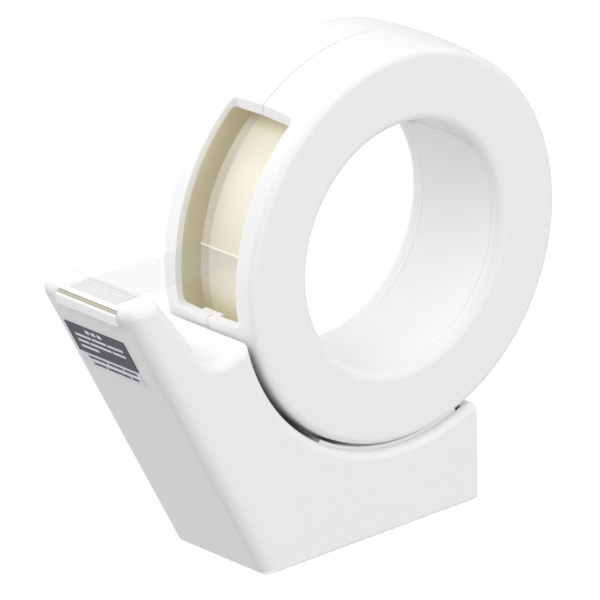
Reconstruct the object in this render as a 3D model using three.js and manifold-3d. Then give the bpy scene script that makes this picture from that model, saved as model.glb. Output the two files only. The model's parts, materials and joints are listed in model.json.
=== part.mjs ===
// A desk tape dispenser: a ring housing for the tape roll stands in the cradle of a hollow base,
// and the base reaches forward to a head that carries the cutting blade.
// Millimetres. X is the ring's axis and the width, -Y is the cutting edge at the front, +Z is up.
// The origin is under the middle of the whole dispenser, on the surface that it stands on.
import * as THREE from 'three';
import { mergeVertices } from 'three/addons/utils/BufferGeometryUtils.js';
import Module from 'manifold-3d';

const manifold = await Module();
manifold.setup();

// ---- Driving dimensions ----
// Tape refill
const tapeWidth = 18;
const coreInnerRadius = 38.1;
const coreWall = 1.6;
const woundDepth = 6.7;
const filmThickness = 0.3;
const peelAngle = 172.2;
// Clearances
const seatGap = 0.3;
const hubGap = 0.4;
const rollRoom = 5;
// Ring housing
const ringWidth = 34.8;
const ringWall = 2;
const ringDraft = 0.9;
const ringEdge = 2.1;
const boreEdge = 2.6;
const sleeveWall = 2;
const boreLipWall = 1;
const boreLipWidth = 3.5;
const leftBoreLipWidth = 5.3;
const hubWall = 2.2;
const hubRimHeight = 2.6;
const hubRimWidth = 1.4;
const windowTopAngle = 127;
const windowBottomAngle = 190;
const windowTopLean = 3;
const windowTopInset = 3.2;
const windowMargin = 2.5;
const windowTopDepth = 2.7;
const tongueThickness = 1.2;
const tongueReach = 4;
const tongueEndAngle = 480;
const tongueRootWidth = 3;
// Lock slide in the bore
const lockTopAngle = 36;
const lockBottomAngle = -62;
const lockTravel = 12;
const fingerRecessAngle = 84;
const lockWall = 1;
const railInset = 2.2;
const leftTabAngles = [5, -50];
const leftTabSpan = 20;
const collarWall = 1.2;
const lugWidth = 8;
const lugAngles = [20, -40];
const keeperWidth = 11;
const locatorAngles = [100, 160, 220];
const locatorWidth = 30;
// Base
const ringClearance = 23.2;
const baseSetback = 0.3;
const baseWall = 2.2;
const cradleGap = 1;
const cradleFrontAngle = 192.3;
const cradleBackAngle = 297.2;
const slotFrontAngle = 196;
const ribAngle = 235;
const ribSpan = 1.2;
const saddleFrontAngle = 238;
const saddleBackAngle = 291;
const saddleDrop = 0.9;
const padInset = 0.5;
const notchSpan = 1.5;
const dipRise = 19.4;
// Head
const restAboveAxis = 7.1;
const headBackReach = 28.5;
const headLength = 11.7;
const headBackLean = 36.3;
const frontLean = 28.06;
const headFloorWall = 4;
const headBlockReach = 12;
const earRise = 1.2;
const earClearance = 2.3;
const restThickness = 2;
const restBackWall = 1.6;
const grooveShares = [0.3, 0.45, 0.6, 0.75];
const grooveWidth = 0.5;
const bladeThickness = 0.6;
const bladeWidth = 5.5;
const bladeSetback = 0.8;
const bladeDrop = 1.1;
const lipForward = 1.1;
const lipHeight = 3.5;
const tapeEndSetback = 1.8;
// Labels on the front face
const labelThickness = 0.3;
const labelLift = 0.1;
const labelWidth = 22.6;
const labelOffset = -3.1;
const upperLabelTop = 12.7;
const upperLabelHeight = 10.6;
const lowerLabelHeight = 5.2;
// Base plate, its screws and the suction cup
const plateThickness = 3;
const bossRadius = 3.4;
const bossHeight = 14;
const bossOverlap = 0.2;
const bossInset = 6.5;
const screwRadius = 1.2;
const screwHeadRadius = 2.2;
const screwHeadHeight = 1.2;
const screwLength = 10;
const pilotSpare = 2.5;
const cupRadius = 11.6;
const cupHeight = 5;
const cupStemRadius = 4;
const turretWall = 1.5;
const studRadius = 1.5;
const nutRadius = 3.2;
const nutHeight = 2.4;
const nutFlange = 0.8;
// Ring screws, driven up through the saddle into the fixed ring shell
const ringScrewAngles = [248, 282];
const footRadius = 3.2;
const ringScrewLength = 7;

// Fineness of the round shapes, in degrees per facet
const arcStep = 5.625;
// How far a cutting shape stands clear of the surface that it cuts
const clear = 10;
// How far two joined shapes reach into one another
const weld = 0.5;

// ---- Derived sizes ----
const halfTape = tapeWidth / 2;
const rollRadius = coreInnerRadius + coreWall + woundDepth;
const ringRadius = rollRadius + rollRoom + ringWall;
const hubOuterRadius = coreInnerRadius - seatGap;
const hubInnerRadius = hubOuterRadius - hubWall;
const sleeveRadius = hubInnerRadius - hubGap;
const boreRadius = sleeveRadius - sleeveWall;
const hubHalf = halfTape + seatGap;
const ringHalf = ringWidth / 2;
const sideInner = ringHalf - ringWall;
const boreSeam = ringHalf - boreLipWidth;
const leftBoreSeam = ringHalf - leftBoreLipWidth;
const collarInner = sleeveRadius + seatGap;
const windowHalf = halfTape + windowMargin;
const axisHeight = ringRadius + ringClearance;
const baseHalf = ringHalf - baseSetback;
const baseInner = baseHalf - baseWall;
const cradleRadius = ringRadius + cradleGap;
const saddleRadius = cradleRadius + saddleDrop;
const restHeight = axisHeight + restAboveAxis;
const headBackY = -(ringRadius + headBackReach);
const noseY = headBackY - headLength;
const frontFootY = noseY + restHeight * Math.tan(THREE.MathUtils.degToRad(frontLean));
const channelHalf = halfTape + earClearance;
const blade = new THREE.Vector2(noseY + bladeSetback + bladeDrop / 2, restHeight - bladeDrop);

// ---- Materials ----
function plastic(color, roughness = 0.45) {
  return new THREE.MeshStandardMaterial({ color, roughness, metalness: 0 });
}
function metal(color, roughness = 0.35) {
  return new THREE.MeshStandardMaterial({ color, roughness, metalness: 1 });
}
const whitePlastic = plastic(0xf4f4f5);
const innerPlastic = plastic(0xe9e9ea);
const creamCore = plastic(0xe9e2cb, 0.7);
const clearTape = plastic(0xe6e2d2, 0.2);
const darkLabel = plastic(0x514c5c, 0.6);
const whiteLabel = plastic(0xf2f2f7, 0.6);
const cupRubber = plastic(0xcfd2d6, 0.55);
const bladeSteel = metal(0xcfc8a8);
const screwSteel = metal(0xb9bcc0);

// ---- Solids ----
function solidFrom(geometry) {
  geometry.deleteAttribute('normal');
  geometry.deleteAttribute('uv');
  const merged = mergeVertices(geometry, 1e-4);
  const corners = merged.index.array;
  const triVerts = [];
  for (let i = 0; i < corners.length; i += 3) {
    const [a, b, c] = [corners[i], corners[i + 1], corners[i + 2]];
    if (a !== b && b !== c && c !== a) triVerts.push(a, b, c);
  }
  const vertProperties = merged.attributes.position.array;
  const mesh = new manifold.Mesh({ numProp: 3, vertProperties, triVerts: Uint32Array.from(triVerts) });
  return new manifold.Manifold(mesh);
}

function join(...solids) {
  return solids.reduce((whole, solid) => whole.add(solid));
}

function cut(solid, ...tools) {
  return tools.reduce((rest, tool) => rest.subtract(tool), solid);
}

const dispenser = new THREE.Group();

function addPiece(name, solid, material) {
  const { vertProperties, triVerts } = solid.getMesh();
  const geometry = new THREE.BufferGeometry();
  geometry.setAttribute('position', new THREE.BufferAttribute(vertProperties, 3));
  geometry.setIndex(new THREE.BufferAttribute(triVerts, 1));
  geometry.computeVertexNormals();
  const mesh = new THREE.Mesh(geometry, material);
  mesh.name = name;
  dispenser.add(mesh);
}

// A side view drawn as (y, z) points, running along X.
const sideways = new THREE.Matrix4().makeBasis(
  new THREE.Vector3(0, 1, 0),
  new THREE.Vector3(0, 0, 1),
  new THREE.Vector3(1, 0, 0),
);
function prism(points, fromX, toX) {
  const options = { depth: toX - fromX, bevelEnabled: false };
  const geometry = new THREE.ExtrudeGeometry(new THREE.Shape(points), options);
  geometry.translate(0, 0, fromX);
  geometry.applyMatrix4(sideways);
  return solidFrom(geometry);
}

function box(fromX, toX, fromY, toY, fromZ, toZ) {
  const geometry = new THREE.BoxGeometry(toX - fromX, toY - fromY, toZ - fromZ);
  geometry.translate((fromX + toX) / 2, (fromY + toY) / 2, (fromZ + toZ) / 2);
  return solidFrom(geometry);
}

// A point at an angle about the ring's axis; 0 is backwards and 90 is up.
function polar(radius, angle) {
  const turn = THREE.MathUtils.degToRad(angle);
  return new THREE.Vector2(radius * Math.cos(turn), axisHeight + radius * Math.sin(turn));
}

function arc(radius, fromAngle, toAngle) {
  const count = Math.max(1, Math.ceil(Math.abs(toAngle - fromAngle) / arcStep));
  const points = [];
  for (let i = 0; i <= count; i += 1) {
    points.push(polar(radius, fromAngle + (toAngle - fromAngle) * (i / count)));
  }
  return points;
}

function sector(innerRadius, outerRadius, fromX, toX, fromAngle, toAngle) {
  const outline = [...arc(outerRadius, fromAngle, toAngle), ...arc(innerRadius, toAngle, fromAngle)];
  return prism(outline, fromX, toX);
}

// A closed profile of [radius, x] points turned about the ring's axis. The profile runs clockwise when
// the radius is drawn across and x is drawn up.
const aboutAxis = new THREE.Matrix4().makeBasis(
  new THREE.Vector3(0, 1, 0),
  new THREE.Vector3(1, 0, 0),
  new THREE.Vector3(0, 0, -1),
);
function turned(profile) {
  const points = [...profile, profile[0]].reverse().map(([radius, x]) => new THREE.Vector2(radius, x));
  const geometry = new THREE.LatheGeometry(points, Math.round(360 / arcStep));
  geometry.applyMatrix4(aboutAxis);
  geometry.translate(0, 0, axisHeight);
  return solidFrom(geometry);
}

function cylinder(radius, from, to, sides = 20) {
  const along = to.clone().sub(from);
  const geometry = new THREE.CylinderGeometry(radius, radius, along.length(), sides);
  const up = new THREE.Vector3(0, 1, 0);
  geometry.applyQuaternion(new THREE.Quaternion().setFromUnitVectors(up, along.normalize()));
  const middle = from.clone().add(to).multiplyScalar(0.5);
  geometry.translate(middle.x, middle.y, middle.z);
  return solidFrom(geometry);
}

function post(radius, x, y, fromZ, toZ, sides = 20) {
  return cylinder(radius, new THREE.Vector3(x, y, fromZ), new THREE.Vector3(x, y, toZ), sides);
}

// Rounds each corner of a closed outline by its own radius, as far as its two sides allow.
function rounded(corners) {
  const points = [];
  corners.forEach((corner, i) => {
    const here = corner.at;
    const toLast = corners.at(i - 1).at.clone().sub(here);
    const toNext = corners[(i + 1) % corners.length].at.clone().sub(here);
    const half = Math.abs(toLast.angleTo(toNext)) / 2;
    const room = 0.45 * Math.min(toLast.length(), toNext.length());
    const reach = Math.min(corner.radius / Math.tan(half), room);
    if (reach < 0.05) {
      points.push(here.clone());
      return;
    }
    const radius = reach * Math.tan(half);
    const start = here.clone().addScaledVector(toLast.normalize(), reach);
    const end = here.clone().addScaledVector(toNext.normalize(), reach);
    const inward = toLast.add(toNext).normalize();
    const centre = here.clone().addScaledVector(inward, radius / Math.sin(half));
    const startTurn = start.clone().sub(centre);
    const endTurn = end.clone().sub(centre);
    const sweep = Math.PI - 2 * half;
    const sign = Math.sign(startTurn.cross(endTurn));
    const steps = Math.max(1, Math.ceil(sweep / 0.35));
    for (let k = 0; k <= steps; k += 1) {
      const turn = sign * sweep * (k / steps);
      points.push(startTurn.clone().rotateAround(new THREE.Vector2(), turn).add(centre));
    }
  });
  return points;
}

function corner(y, z, radius = 0) {
  return { at: new THREE.Vector2(y, z), radius };
}

// Moves every side of a closed outline inwards; the outline runs anticlockwise in (y, z).
function inset(corners, distance) {
  const sides = corners.map((from, i) => {
    const to = corners[(i + 1) % corners.length];
    const along = to.at.clone().sub(from.at).normalize();
    const inward = new THREE.Vector2(-along.y, along.x);
    return { start: from.at.clone().addScaledVector(inward, distance), along };
  });
  return sides.map((side, i) => {
    const last = sides.at(i - 1);
    const turn = last.along.cross(side.along);
    const between = side.start.clone().sub(last.start);
    const { radius } = corners[i];
    if (Math.abs(turn) < 1e-6) return { at: side.start.clone(), radius };
    const reach = between.cross(side.along) / turn;
    return { at: last.start.clone().addScaledVector(last.along, reach), radius };
  });
}

// ---- Screws ----
// A pan-head screw with a cross recess; the head's outer face is at from and the tip at to.
function screw(from, to) {
  const along = to.clone().sub(from).normalize();
  const headEnd = from.clone().addScaledVector(along, screwHeadHeight);
  const head = cylinder(screwHeadRadius, from, headEnd, 20);
  const shank = cylinder(screwRadius, headEnd.clone().addScaledVector(along, -0.2), to, 14);
  const recessDepth = screwHeadHeight * 0.55;
  const recesses = [0, 90].map((turn) => {
    const geometry = new THREE.BoxGeometry(screwHeadRadius * 1.2, 2 * recessDepth, screwHeadRadius * 0.26);
    geometry.rotateY(THREE.MathUtils.degToRad(turn));
    geometry.applyQuaternion(new THREE.Quaternion().setFromUnitVectors(new THREE.Vector3(0, 1, 0), along));
    geometry.translate(from.x, from.y, from.z);
    return solidFrom(geometry);
  });
  return cut(join(head, shank), ...recesses);
}

// ---- Base ----
const cradleFront = polar(cradleRadius, cradleFrontAngle);
const cradleBack = polar(cradleRadius, cradleBackAngle);
const backY = cradleBack.x;
const headBackSlope = 1 / Math.tan(THREE.MathUtils.degToRad(headBackLean));
const dipSlope = Math.tan(THREE.MathUtils.degToRad(dipRise));
const dipY = (restHeight - cradleFront.y + headBackSlope * headBackY + dipSlope * cradleFront.x)
  / (headBackSlope + dipSlope);
const dipHeight = cradleFront.y + dipSlope * (dipY - cradleFront.x);
const earTop = restHeight + earRise;

function frontFaceY(z) {
  return frontFootY - z * Math.tan(THREE.MathUtils.degToRad(frontLean));
}

function baseOutline(bottomZ) {
  const earBackY = headBackY - earRise / headBackSlope;
  const cradle = arc(cradleRadius, cradleBackAngle - 2, cradleFrontAngle + 1.5);
  return [
    corner(frontFaceY(bottomZ), bottomZ, 1),
    corner(backY, bottomZ, 1),
    corner(cradleBack.x, cradleBack.y, 2),
    ...cradle.map((point) => ({ at: point, radius: 0 })),
    corner(cradleFront.x, cradleFront.y, 0.6),
    corner(dipY, dipHeight, 9),
    corner(earBackY, earTop, 2.4),
    corner(frontFaceY(earTop), earTop, 4.5),
  ];
}

const cupY = (frontFootY + backY) / 2;
const bossX = baseInner - bossRadius + bossOverlap;
const bossPlaces = [frontFootY + bossInset, backY - bossInset].flatMap((y) => [
  { x: -bossX, y },
  { x: bossX, y },
]);
const radial = (angle, x, radius) => new THREE.Vector3(x, polar(radius, angle).x, polar(radius, angle).y);
const footX = -(halfTape - seatGap);
const saddleOuter = saddleRadius + (baseWall - saddleDrop);

// The blade leans back at 45 degrees, between the tape rest behind it and the lip in front.
const bladeDown = new THREE.Vector2(1, -1).normalize();
const bladeOut = new THREE.Vector2(-1, -1).normalize();
function atBlade(out, down) {
  return blade.clone().addScaledVector(bladeOut, out).addScaledVector(bladeDown, down);
}
const restTop = restHeight - seatGap;
const restFloor = restTop - restThickness;
const restBackY = headBackY - restBackWall;
const bladeSide = bladeThickness / 2 + seatGap;
const pocketBottom = atBlade(-bladeSide, bladeWidth + seatGap);
const lipBottomZ = blade.y - lipHeight - seatGap;

function headPocket() {
  const restFront = atBlade(-bladeSide, bladeDrop + restThickness);
  const above = earTop + clear;
  const ahead = noseY - clear;
  const restPocket = [
    new THREE.Vector2(restBackY + seatGap, above),
    new THREE.Vector2(ahead, above),
    new THREE.Vector2(ahead, restFloor - seatGap),
    new THREE.Vector2(restBackY + seatGap, restFloor - seatGap),
  ];
  const bladePocket = [
    atBlade(-bladeSide, -bladeDrop),
    restFront,
    pocketBottom,
    new THREE.Vector2(pocketBottom.x - bladeThickness, lipBottomZ - seatGap),
    new THREE.Vector2(ahead, lipBottomZ - seatGap),
    new THREE.Vector2(ahead, above),
  ];
  return join(
    prism(restPocket, -channelHalf, channelHalf),
    prism(bladePocket, -channelHalf, channelHalf),
    box(-channelHalf, channelHalf, ahead, headBackY + clear, restHeight, above),
  );
}

function baseShell() {
  const outer = prism(rounded(baseOutline(0)), -baseHalf, baseHalf);
  const hollowOutline = inset(baseOutline(-2 * baseWall), baseWall).map(({ at }) => at);
  const hollow = prism(hollowOutline, -baseInner, baseInner);
  const headBackEnd = headBackY + headBlockReach;
  const headFloor = lipBottomZ - headFloorWall;
  const headBlock = box(-baseHalf, baseHalf, noseY - clear, headBackEnd, headFloor, earTop + clear);
  const above = cradleRadius - clear;
  const below = cradleRadius + 2 * baseWall;
  const span = [-baseInner, baseInner];
  const frontSlot = sector(above, below, ...span, slotFrontAngle, saddleFrontAngle);
  const ribHalf = baseInner + weld;
  const rib = sector(saddleRadius, below, -ribHalf, ribHalf, ribAngle, ribAngle + ribSpan);
  const saddleCut = sector(above, saddleRadius, ...span, saddleFrontAngle - 1, saddleBackAngle);
  const backNotch = sector(above, below, ...span, saddleBackAngle - 1, saddleBackAngle + notchSpan);
  const bosses = bossPlaces.map(
    ({ x, y }) => post(bossRadius, x, y, plateThickness + seatGap, bossHeight));
  const pilots = bossPlaces.map(
    ({ x, y }) => post(screwRadius + seatGap, x, y, 0, screwLength + pilotSpare, 14));
  const screwPasses = ringScrewAngles.map((angle) => cylinder(
    screwRadius + seatGap,
    radial(angle, footX, saddleRadius - 1),
    radial(angle, footX, saddleOuter + 2),
    14,
  ));
  const shell = join(cut(outer, cut(hollow, headBlock)), ...bosses);
  return join(cut(shell, frontSlot, saddleCut, backNotch, headPocket(), ...pilots, ...screwPasses), rib);
}
addPiece('base_shell', baseShell(), whitePlastic);

// The plate rises to a turret over the suction cup, and the cup's stem goes up through it.
const turretTop = cupHeight + 2 * seatGap + turretWall;
const stemTop = turretTop + seatGap;

function basePlate() {
  const turretRadius = cupRadius + seatGap + turretWall;
  const frontWall = baseWall / Math.cos(THREE.MathUtils.degToRad(frontLean));
  const frontEdge = frontFaceY(0) + frontWall + seatGap;
  const backEdge = backY - baseWall - seatGap;
  const plate = box(-baseInner + seatGap, baseInner - seatGap, frontEdge, backEdge, 0, plateThickness);
  const turret = post(turretRadius, 0, cupY, 0, turretTop, 40);
  const well = post(cupRadius + seatGap, 0, cupY, -1, cupHeight + seatGap, 40);
  const stemHole = post(cupStemRadius + seatGap, 0, cupY, 0, turretTop + 2, 24);
  const screwHoles = bossPlaces.flatMap(({ x, y }) => [
    post(screwRadius + seatGap, x, y, -1, plateThickness + 1, 14),
    post(screwHeadRadius + seatGap, x, y, -1, screwHeadHeight + 2 * seatGap, 20),
  ]);
  return cut(join(plate, turret), well, stemHole, ...screwHoles);
}
addPiece('base_plate', basePlate(), innerPlastic);

bossPlaces.forEach(({ x, y }, i) => {
  const from = new THREE.Vector3(x, y, seatGap);
  const to = new THREE.Vector3(x, y, seatGap + screwLength);
  addPiece(`base_screw_${i + 1}`, screw(from, to), screwSteel);
});

// ---- Suction cup under the base plate ----
function suctionCup() {
  const outline = [
    [0, cupHeight * 0.36],
    [cupRadius * 0.4, cupHeight * 0.3],
    [cupRadius * 0.8, cupHeight * 0.1],
    [cupRadius, 0],
    [cupRadius, 0.4],
    [cupRadius * 0.82, cupHeight * 0.34],
    [cupRadius * 0.5, cupHeight * 0.8],
    [cupStemRadius, cupHeight],
    [cupStemRadius, stemTop],
    [0, stemTop],
  ].map(([radius, z]) => new THREE.Vector2(radius, z));
  const geometry = new THREE.LatheGeometry(outline, 40);
  geometry.rotateX(Math.PI / 2);
  geometry.translate(0, cupY, 0);
  return cut(solidFrom(geometry), post(studRadius + seatGap, 0, cupY, cupHeight * 0.7, stemTop + 1, 14));
}
addPiece('suction_cup', suctionCup(), cupRubber);

const nutBottom = stemTop + seatGap;
addPiece(
  'suction_stud',
  post(studRadius, 0, cupY, cupHeight * 0.7 + seatGap, nutBottom + nutHeight + 2, 14),
  screwSteel,
);
const nutHole = post(studRadius + seatGap, 0, cupY, nutBottom - 1, nutBottom + nutHeight + 1, 14);
const nutBody = join(
  post(cupStemRadius + 2, 0, cupY, nutBottom, nutBottom + nutFlange, 24),
  post(nutRadius, 0, cupY, nutBottom + nutFlange / 2, nutBottom + nutHeight, 6),
);
addPiece('suction_nut', cut(nutBody, nutHole), screwSteel);

// ---- Ring housing ----
// The window's top end face leans: it goes straight down from the outer edge. The bottom one is radial.
function windowHole() {
  const topEdge = polar(ringRadius, windowTopAngle);
  const lean = THREE.MathUtils.degToRad(windowTopLean);
  const inward = new THREE.Vector2(-Math.sin(lean), -Math.cos(lean));
  const outline = [
    topEdge.clone().addScaledVector(inward, -clear),
    topEdge.clone().addScaledVector(inward, windowTopDepth),
    ...arc(rollRadius, windowTopAngle + windowTopInset, windowBottomAngle),
    ...arc(ringRadius + clear, windowBottomAngle, windowTopAngle),
  ];
  return prism(outline, -windowHalf, windowHalf);
}

// One half of the housing, from the middle seam to the side face; side is -1 on the left and 1 on the right.
function ringHalfShell(side) {
  const edgeSteps = [0, 1 / 3, 2 / 3, 1].map((share) => share * (Math.PI / 2));
  const sideRadius = ringRadius - ringDraft;
  const boreCorner = edgeSteps.map((turn) => [
    boreRadius + boreEdge * (1 - Math.cos(turn)),
    ringHalf - boreEdge * (1 - Math.sin(turn)),
  ]);
  const rimCorner = edgeSteps.map((turn) => [
    sideRadius - ringEdge * (1 - Math.sin(turn)),
    ringHalf - ringEdge * (1 - Math.cos(turn)),
  ]);
  const seam = seatGap / 2;
  const lipEdge = (side < 0 ? leftBoreSeam : boreSeam) + seatGap;
  const profile = [
    [boreRadius, lipEdge],
    ...boreCorner,
    ...rimCorner,
    [ringRadius, seam],
    [ringRadius - ringWall, seam],
    [sideRadius - ringWall, sideInner],
    [boreRadius + boreLipWall, sideInner],
    [boreRadius + boreLipWall, lipEdge],
  ].map(([radius, reach]) => [radius, side * reach]);
  const shell = turned(side < 0 ? profile.reverse() : profile);
  return cut(shell, windowHole());
}

// The lock slide lies in a trough of the sleeve, which goes on above it as the room for its travel.
const troughStart = lockBottomAngle - 0.5;
const lockTravelEnd = lockTopAngle + lockTravel + 1;
const troughRadius = boreRadius + lockWall + seatGap;
const panelEnd = boreSeam - seatGap;
const leftPanelEnd = leftBoreSeam - seatGap;
const railStart = panelEnd - railInset;
const leftRailStart = leftPanelEnd - railInset;
const tabEnd = sideInner - seatGap;
const tongueOuter = ringRadius - ringWall - seatGap;
const tongueInner = tongueOuter - tongueThickness;

function ringShell() {
  const sleeveInner = -ringHalf + boreEdge;
  const floorStart = -sideInner - weld;
  const floor = [
    sector(troughRadius, sleeveRadius, floorStart, railStart - seatGap, troughStart - 1, lockTravelEnd + 1),
    sector(troughRadius, sleeveRadius, floorStart, panelEnd, lockTravelEnd, fingerRecessAngle + 1),
  ];
  const tabSlots = leftTabAngles.map((angle) => sector(
    boreRadius + lockWall + seatGap / 3, sleeveRadius + seatGap / 2, -sideInner, seatGap - leftRailStart,
    angle - 1, angle + leftTabSpan + lockTravel + 1));
  const sleeve = sector(
    boreRadius, sleeveRadius, sleeveInner, panelEnd, fingerRecessAngle, 360 + troughStart);
  const collarEnd = -hubHalf - hubRimWidth - 2 * seatGap;
  const collarOuter = collarInner + collarWall;
  const collar = sector(
    collarInner, collarOuter, -sideInner - weld, collarEnd, troughStart, lockTravelEnd);
  const feet = ringScrewAngles.map((angle) => cylinder(
    footRadius, radial(angle, footX, rollRadius + 1), radial(angle, footX, saddleRadius - seatGap)));
  const feetHoles = ringScrewAngles.map((angle) => cylinder(
    screwRadius + seatGap,
    radial(angle, footX, saddleOuter - ringScrewLength - 1),
    radial(angle, footX, saddleRadius + 2),
    14,
  ));
  const tongueRoom = sector(
    tongueInner - seatGap, tongueOuter + seatGap, -tongueReach - seatGap, 1,
    windowBottomAngle - 1, tongueEndAngle + 1);
  const padOuter = saddleRadius - seatGap;
  const padHalf = baseInner - seatGap;
  const padAngles = [saddleFrontAngle + padInset, saddleBackAngle - padInset];
  const pads = [
    sector(ringRadius - ringWall / 2, padOuter, -padHalf, -seatGap / 2, ...padAngles),
    sector(ringRadius + seatGap, padOuter, -1, padHalf, ...padAngles),
  ];
  const lined = join(ringHalfShell(-1), ...floor, sleeve, collar, ...feet, ...pads);
  return cut(lined, tongueRoom, ...tabSlots, ...feetHoles);
}
addPiece('ring_shell', ringShell(), whitePlastic);

function ringCover() {
  const tongueAngles = [windowBottomAngle, tongueEndAngle];
  const tongue = sector(tongueInner, tongueOuter, -tongueReach, tongueRootWidth, ...tongueAngles);
  const tongueRoot = sector(
    tongueInner, ringRadius - ringWall / 2, seatGap / 2, tongueRootWidth, ...tongueAngles);
  const collar = [collarInner, collarInner + collarWall, hubHalf + 3 * seatGap, sideInner + weld];
  const keepers = lugAngles.map((angle) => sector(
    ...collar, angle - 1 - keeperWidth, angle - 1));
  const locators = locatorAngles.map((angle) => sector(...collar, angle, angle + locatorWidth));
  return join(ringHalfShell(1), tongue, tongueRoot, ...keepers, ...locators);
}
addPiece('ring_cover', ringCover(), whitePlastic);

function lockSlide() {
  const panelOuter = boreRadius + lockWall;
  const panel = sector(boreRadius, panelOuter, -leftPanelEnd, panelEnd, lockBottomAngle, lockTopAngle);
  const rail = sector(
    panelOuter - weld, sleeveRadius, railStart, panelEnd, lockBottomAngle + 2, lockTopAngle - 2);
  const tab = sector(
    troughRadius, sleeveRadius, railStart, tabEnd, lockBottomAngle + 2, lockTopAngle - 2);
  const leftTabs = leftTabAngles.flatMap((angle) => [
    sector(panelOuter - weld, sleeveRadius, -leftPanelEnd, -leftRailStart, angle, angle + leftTabSpan),
    sector(troughRadius, sleeveRadius, -tabEnd, -leftRailStart, angle, angle + leftTabSpan),
  ]);
  const lugs = lugAngles.map((angle) => sector(
    sleeveRadius - weld, collarInner + collarWall, railStart, panelEnd, angle, angle + lugWidth));
  return join(panel, rail, tab, ...leftTabs, ...lugs);
}
addPiece('lock_slide', lockSlide(), whitePlastic);

ringScrewAngles.forEach((angle, i) => {
  const headFace = saddleOuter + seatGap + screwHeadHeight;
  const from = radial(angle, footX, headFace);
  const to = radial(angle, footX, saddleOuter - ringScrewLength);
  addPiece(`ring_screw_${i + 1}`, screw(from, to), screwSteel);
});

// ---- Tape roll on its hub ----
const hubProfile = [
  [hubInnerRadius, -hubHalf - hubRimWidth],
  [hubInnerRadius, hubHalf],
  [hubOuterRadius, hubHalf],
  [hubOuterRadius, -hubHalf],
  [hubOuterRadius + hubRimHeight, -hubHalf],
  [hubOuterRadius + hubRimHeight, -hubHalf - hubRimWidth],
];
addPiece('hub_ring', turned(hubProfile), innerPlastic);

function tube(innerRadius, outerRadius, halfWidth) {
  return turned([
    [innerRadius, -halfWidth],
    [innerRadius, halfWidth],
    [outerRadius, halfWidth],
    [outerRadius, -halfWidth],
  ]);
}
const coreOuter = coreInnerRadius + coreWall;
addPiece('tape_core', tube(coreInnerRadius, coreOuter, halfTape), creamCore);
addPiece('tape_roll', tube(coreOuter + seatGap, rollRadius, halfTape), clearTape);

// The free end of the tape runs straight from where it peels off the roll to the tape rest.
function tapeStrand() {
  const peel = polar(rollRadius + seatGap, peelAngle);
  const tapeEndY = blade.x + tapeEndSetback;
  const under = [
    new THREE.Vector2(peel.x, peel.y),
    new THREE.Vector2(headBackY, restHeight),
    new THREE.Vector2(tapeEndY, restHeight),
  ];
  const over = under.map((point) => new THREE.Vector2(point.x, point.y + filmThickness)).reverse();
  return prism([...under, ...over], -halfTape, halfTape);
}
addPiece('tape_strand', tapeStrand(), clearTape);

// ---- Cutting head ----
function tapeRest() {
  const behindBlade = (height) => {
    const down = (blade.y + bladeSide * Math.SQRT1_2 - height) * Math.SQRT2;
    return atBlade(-bladeSide, down);
  };
  const frontTop = behindBlade(restTop);
  const block = prism([
    behindBlade(restFloor),
    new THREE.Vector2(restBackY, restFloor),
    new THREE.Vector2(restBackY, restTop),
    frontTop,
  ], -channelHalf + seatGap, channelHalf - seatGap);
  const grooves = grooveShares.map((share) => {
    const y = THREE.MathUtils.lerp(frontTop.x, restBackY, share);
    return box(-halfTape, halfTape, y, y + grooveWidth, restTop - grooveWidth / 2, earTop);
  });
  return cut(block, ...grooves);
}
addPiece('tape_rest', tapeRest(), whitePlastic);

const bladeOutline = [
  atBlade(-bladeThickness / 2, 0),
  atBlade(bladeThickness / 2, 0),
  atBlade(bladeThickness / 2, bladeWidth),
  atBlade(-bladeThickness / 2, bladeWidth),
];
addPiece('blade', prism(bladeOutline, -channelHalf + seatGap, channelHalf - seatGap), bladeSteel);

const lipOutline = rounded([
  { at: atBlade(bladeSide, 0.4), radius: 0.1 },
  { at: new THREE.Vector2(blade.x - lipForward, blade.y - lipForward), radius: 0.6 },
  { at: new THREE.Vector2(blade.x - lipForward * 0.7, blade.y - lipHeight), radius: 0.5 },
  { at: new THREE.Vector2(frontFaceY(blade.y - lipHeight) + 0.6, lipBottomZ), radius: 0.1 },
  { at: atBlade(bladeSide, bladeWidth - 0.3), radius: 0.1 },
]);
addPiece('blade_lip', prism(lipOutline, -channelHalf + seatGap, channelHalf - seatGap), whitePlastic);

// ---- Labels on the front face ----
function frontLabel(fromTop, height) {
  const lean = THREE.MathUtils.degToRad(frontLean);
  const down = new THREE.Vector2(Math.sin(lean), -Math.cos(lean));
  const out = new THREE.Vector2(-Math.cos(lean), -Math.sin(lean));
  const top = new THREE.Vector2(frontFaceY(restHeight), restHeight).addScaledVector(down, fromTop);
  const face = (away, along) => top.clone().addScaledVector(out, away).addScaledVector(down, along);
  const outer = labelLift + labelThickness;
  const outline = [
    face(labelLift, 0), face(outer, 0), face(outer, height), face(labelLift, height),
  ];
  return prism(outline, labelOffset - labelWidth / 2, labelOffset + labelWidth / 2);
}
addPiece('label_upper', frontLabel(upperLabelTop, upperLabelHeight), darkLabel);
addPiece('label_lower', frontLabel(upperLabelTop + upperLabelHeight + seatGap, lowerLabelHeight), whiteLabel);

// The pieces are drawn about the ring's axis and moved so that the dispenser is centred front to back.
const extent = new THREE.Box3().setFromObject(dispenser);
dispenser.position.set(0, -(extent.min.y + extent.max.y) / 2, 0);
const model = new THREE.Group();
model.add(dispenser);
export default model;
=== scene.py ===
"""Looks for a desk tape dispenser: a ring housing for the roll that stands in the cradle of a hollow base.

Everything is in metres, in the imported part's own frame: X is the ring's axis, -Y is the cutting edge at the
front and +Z is up. Each sub-assembly is a class that builds its pieces and dresses them.
"""

from __future__ import annotations

import json
import logging
import math
from dataclasses import dataclass
from enum import Enum
from typing import Callable

import bpy
from mathutils import Matrix, Vector

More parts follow.
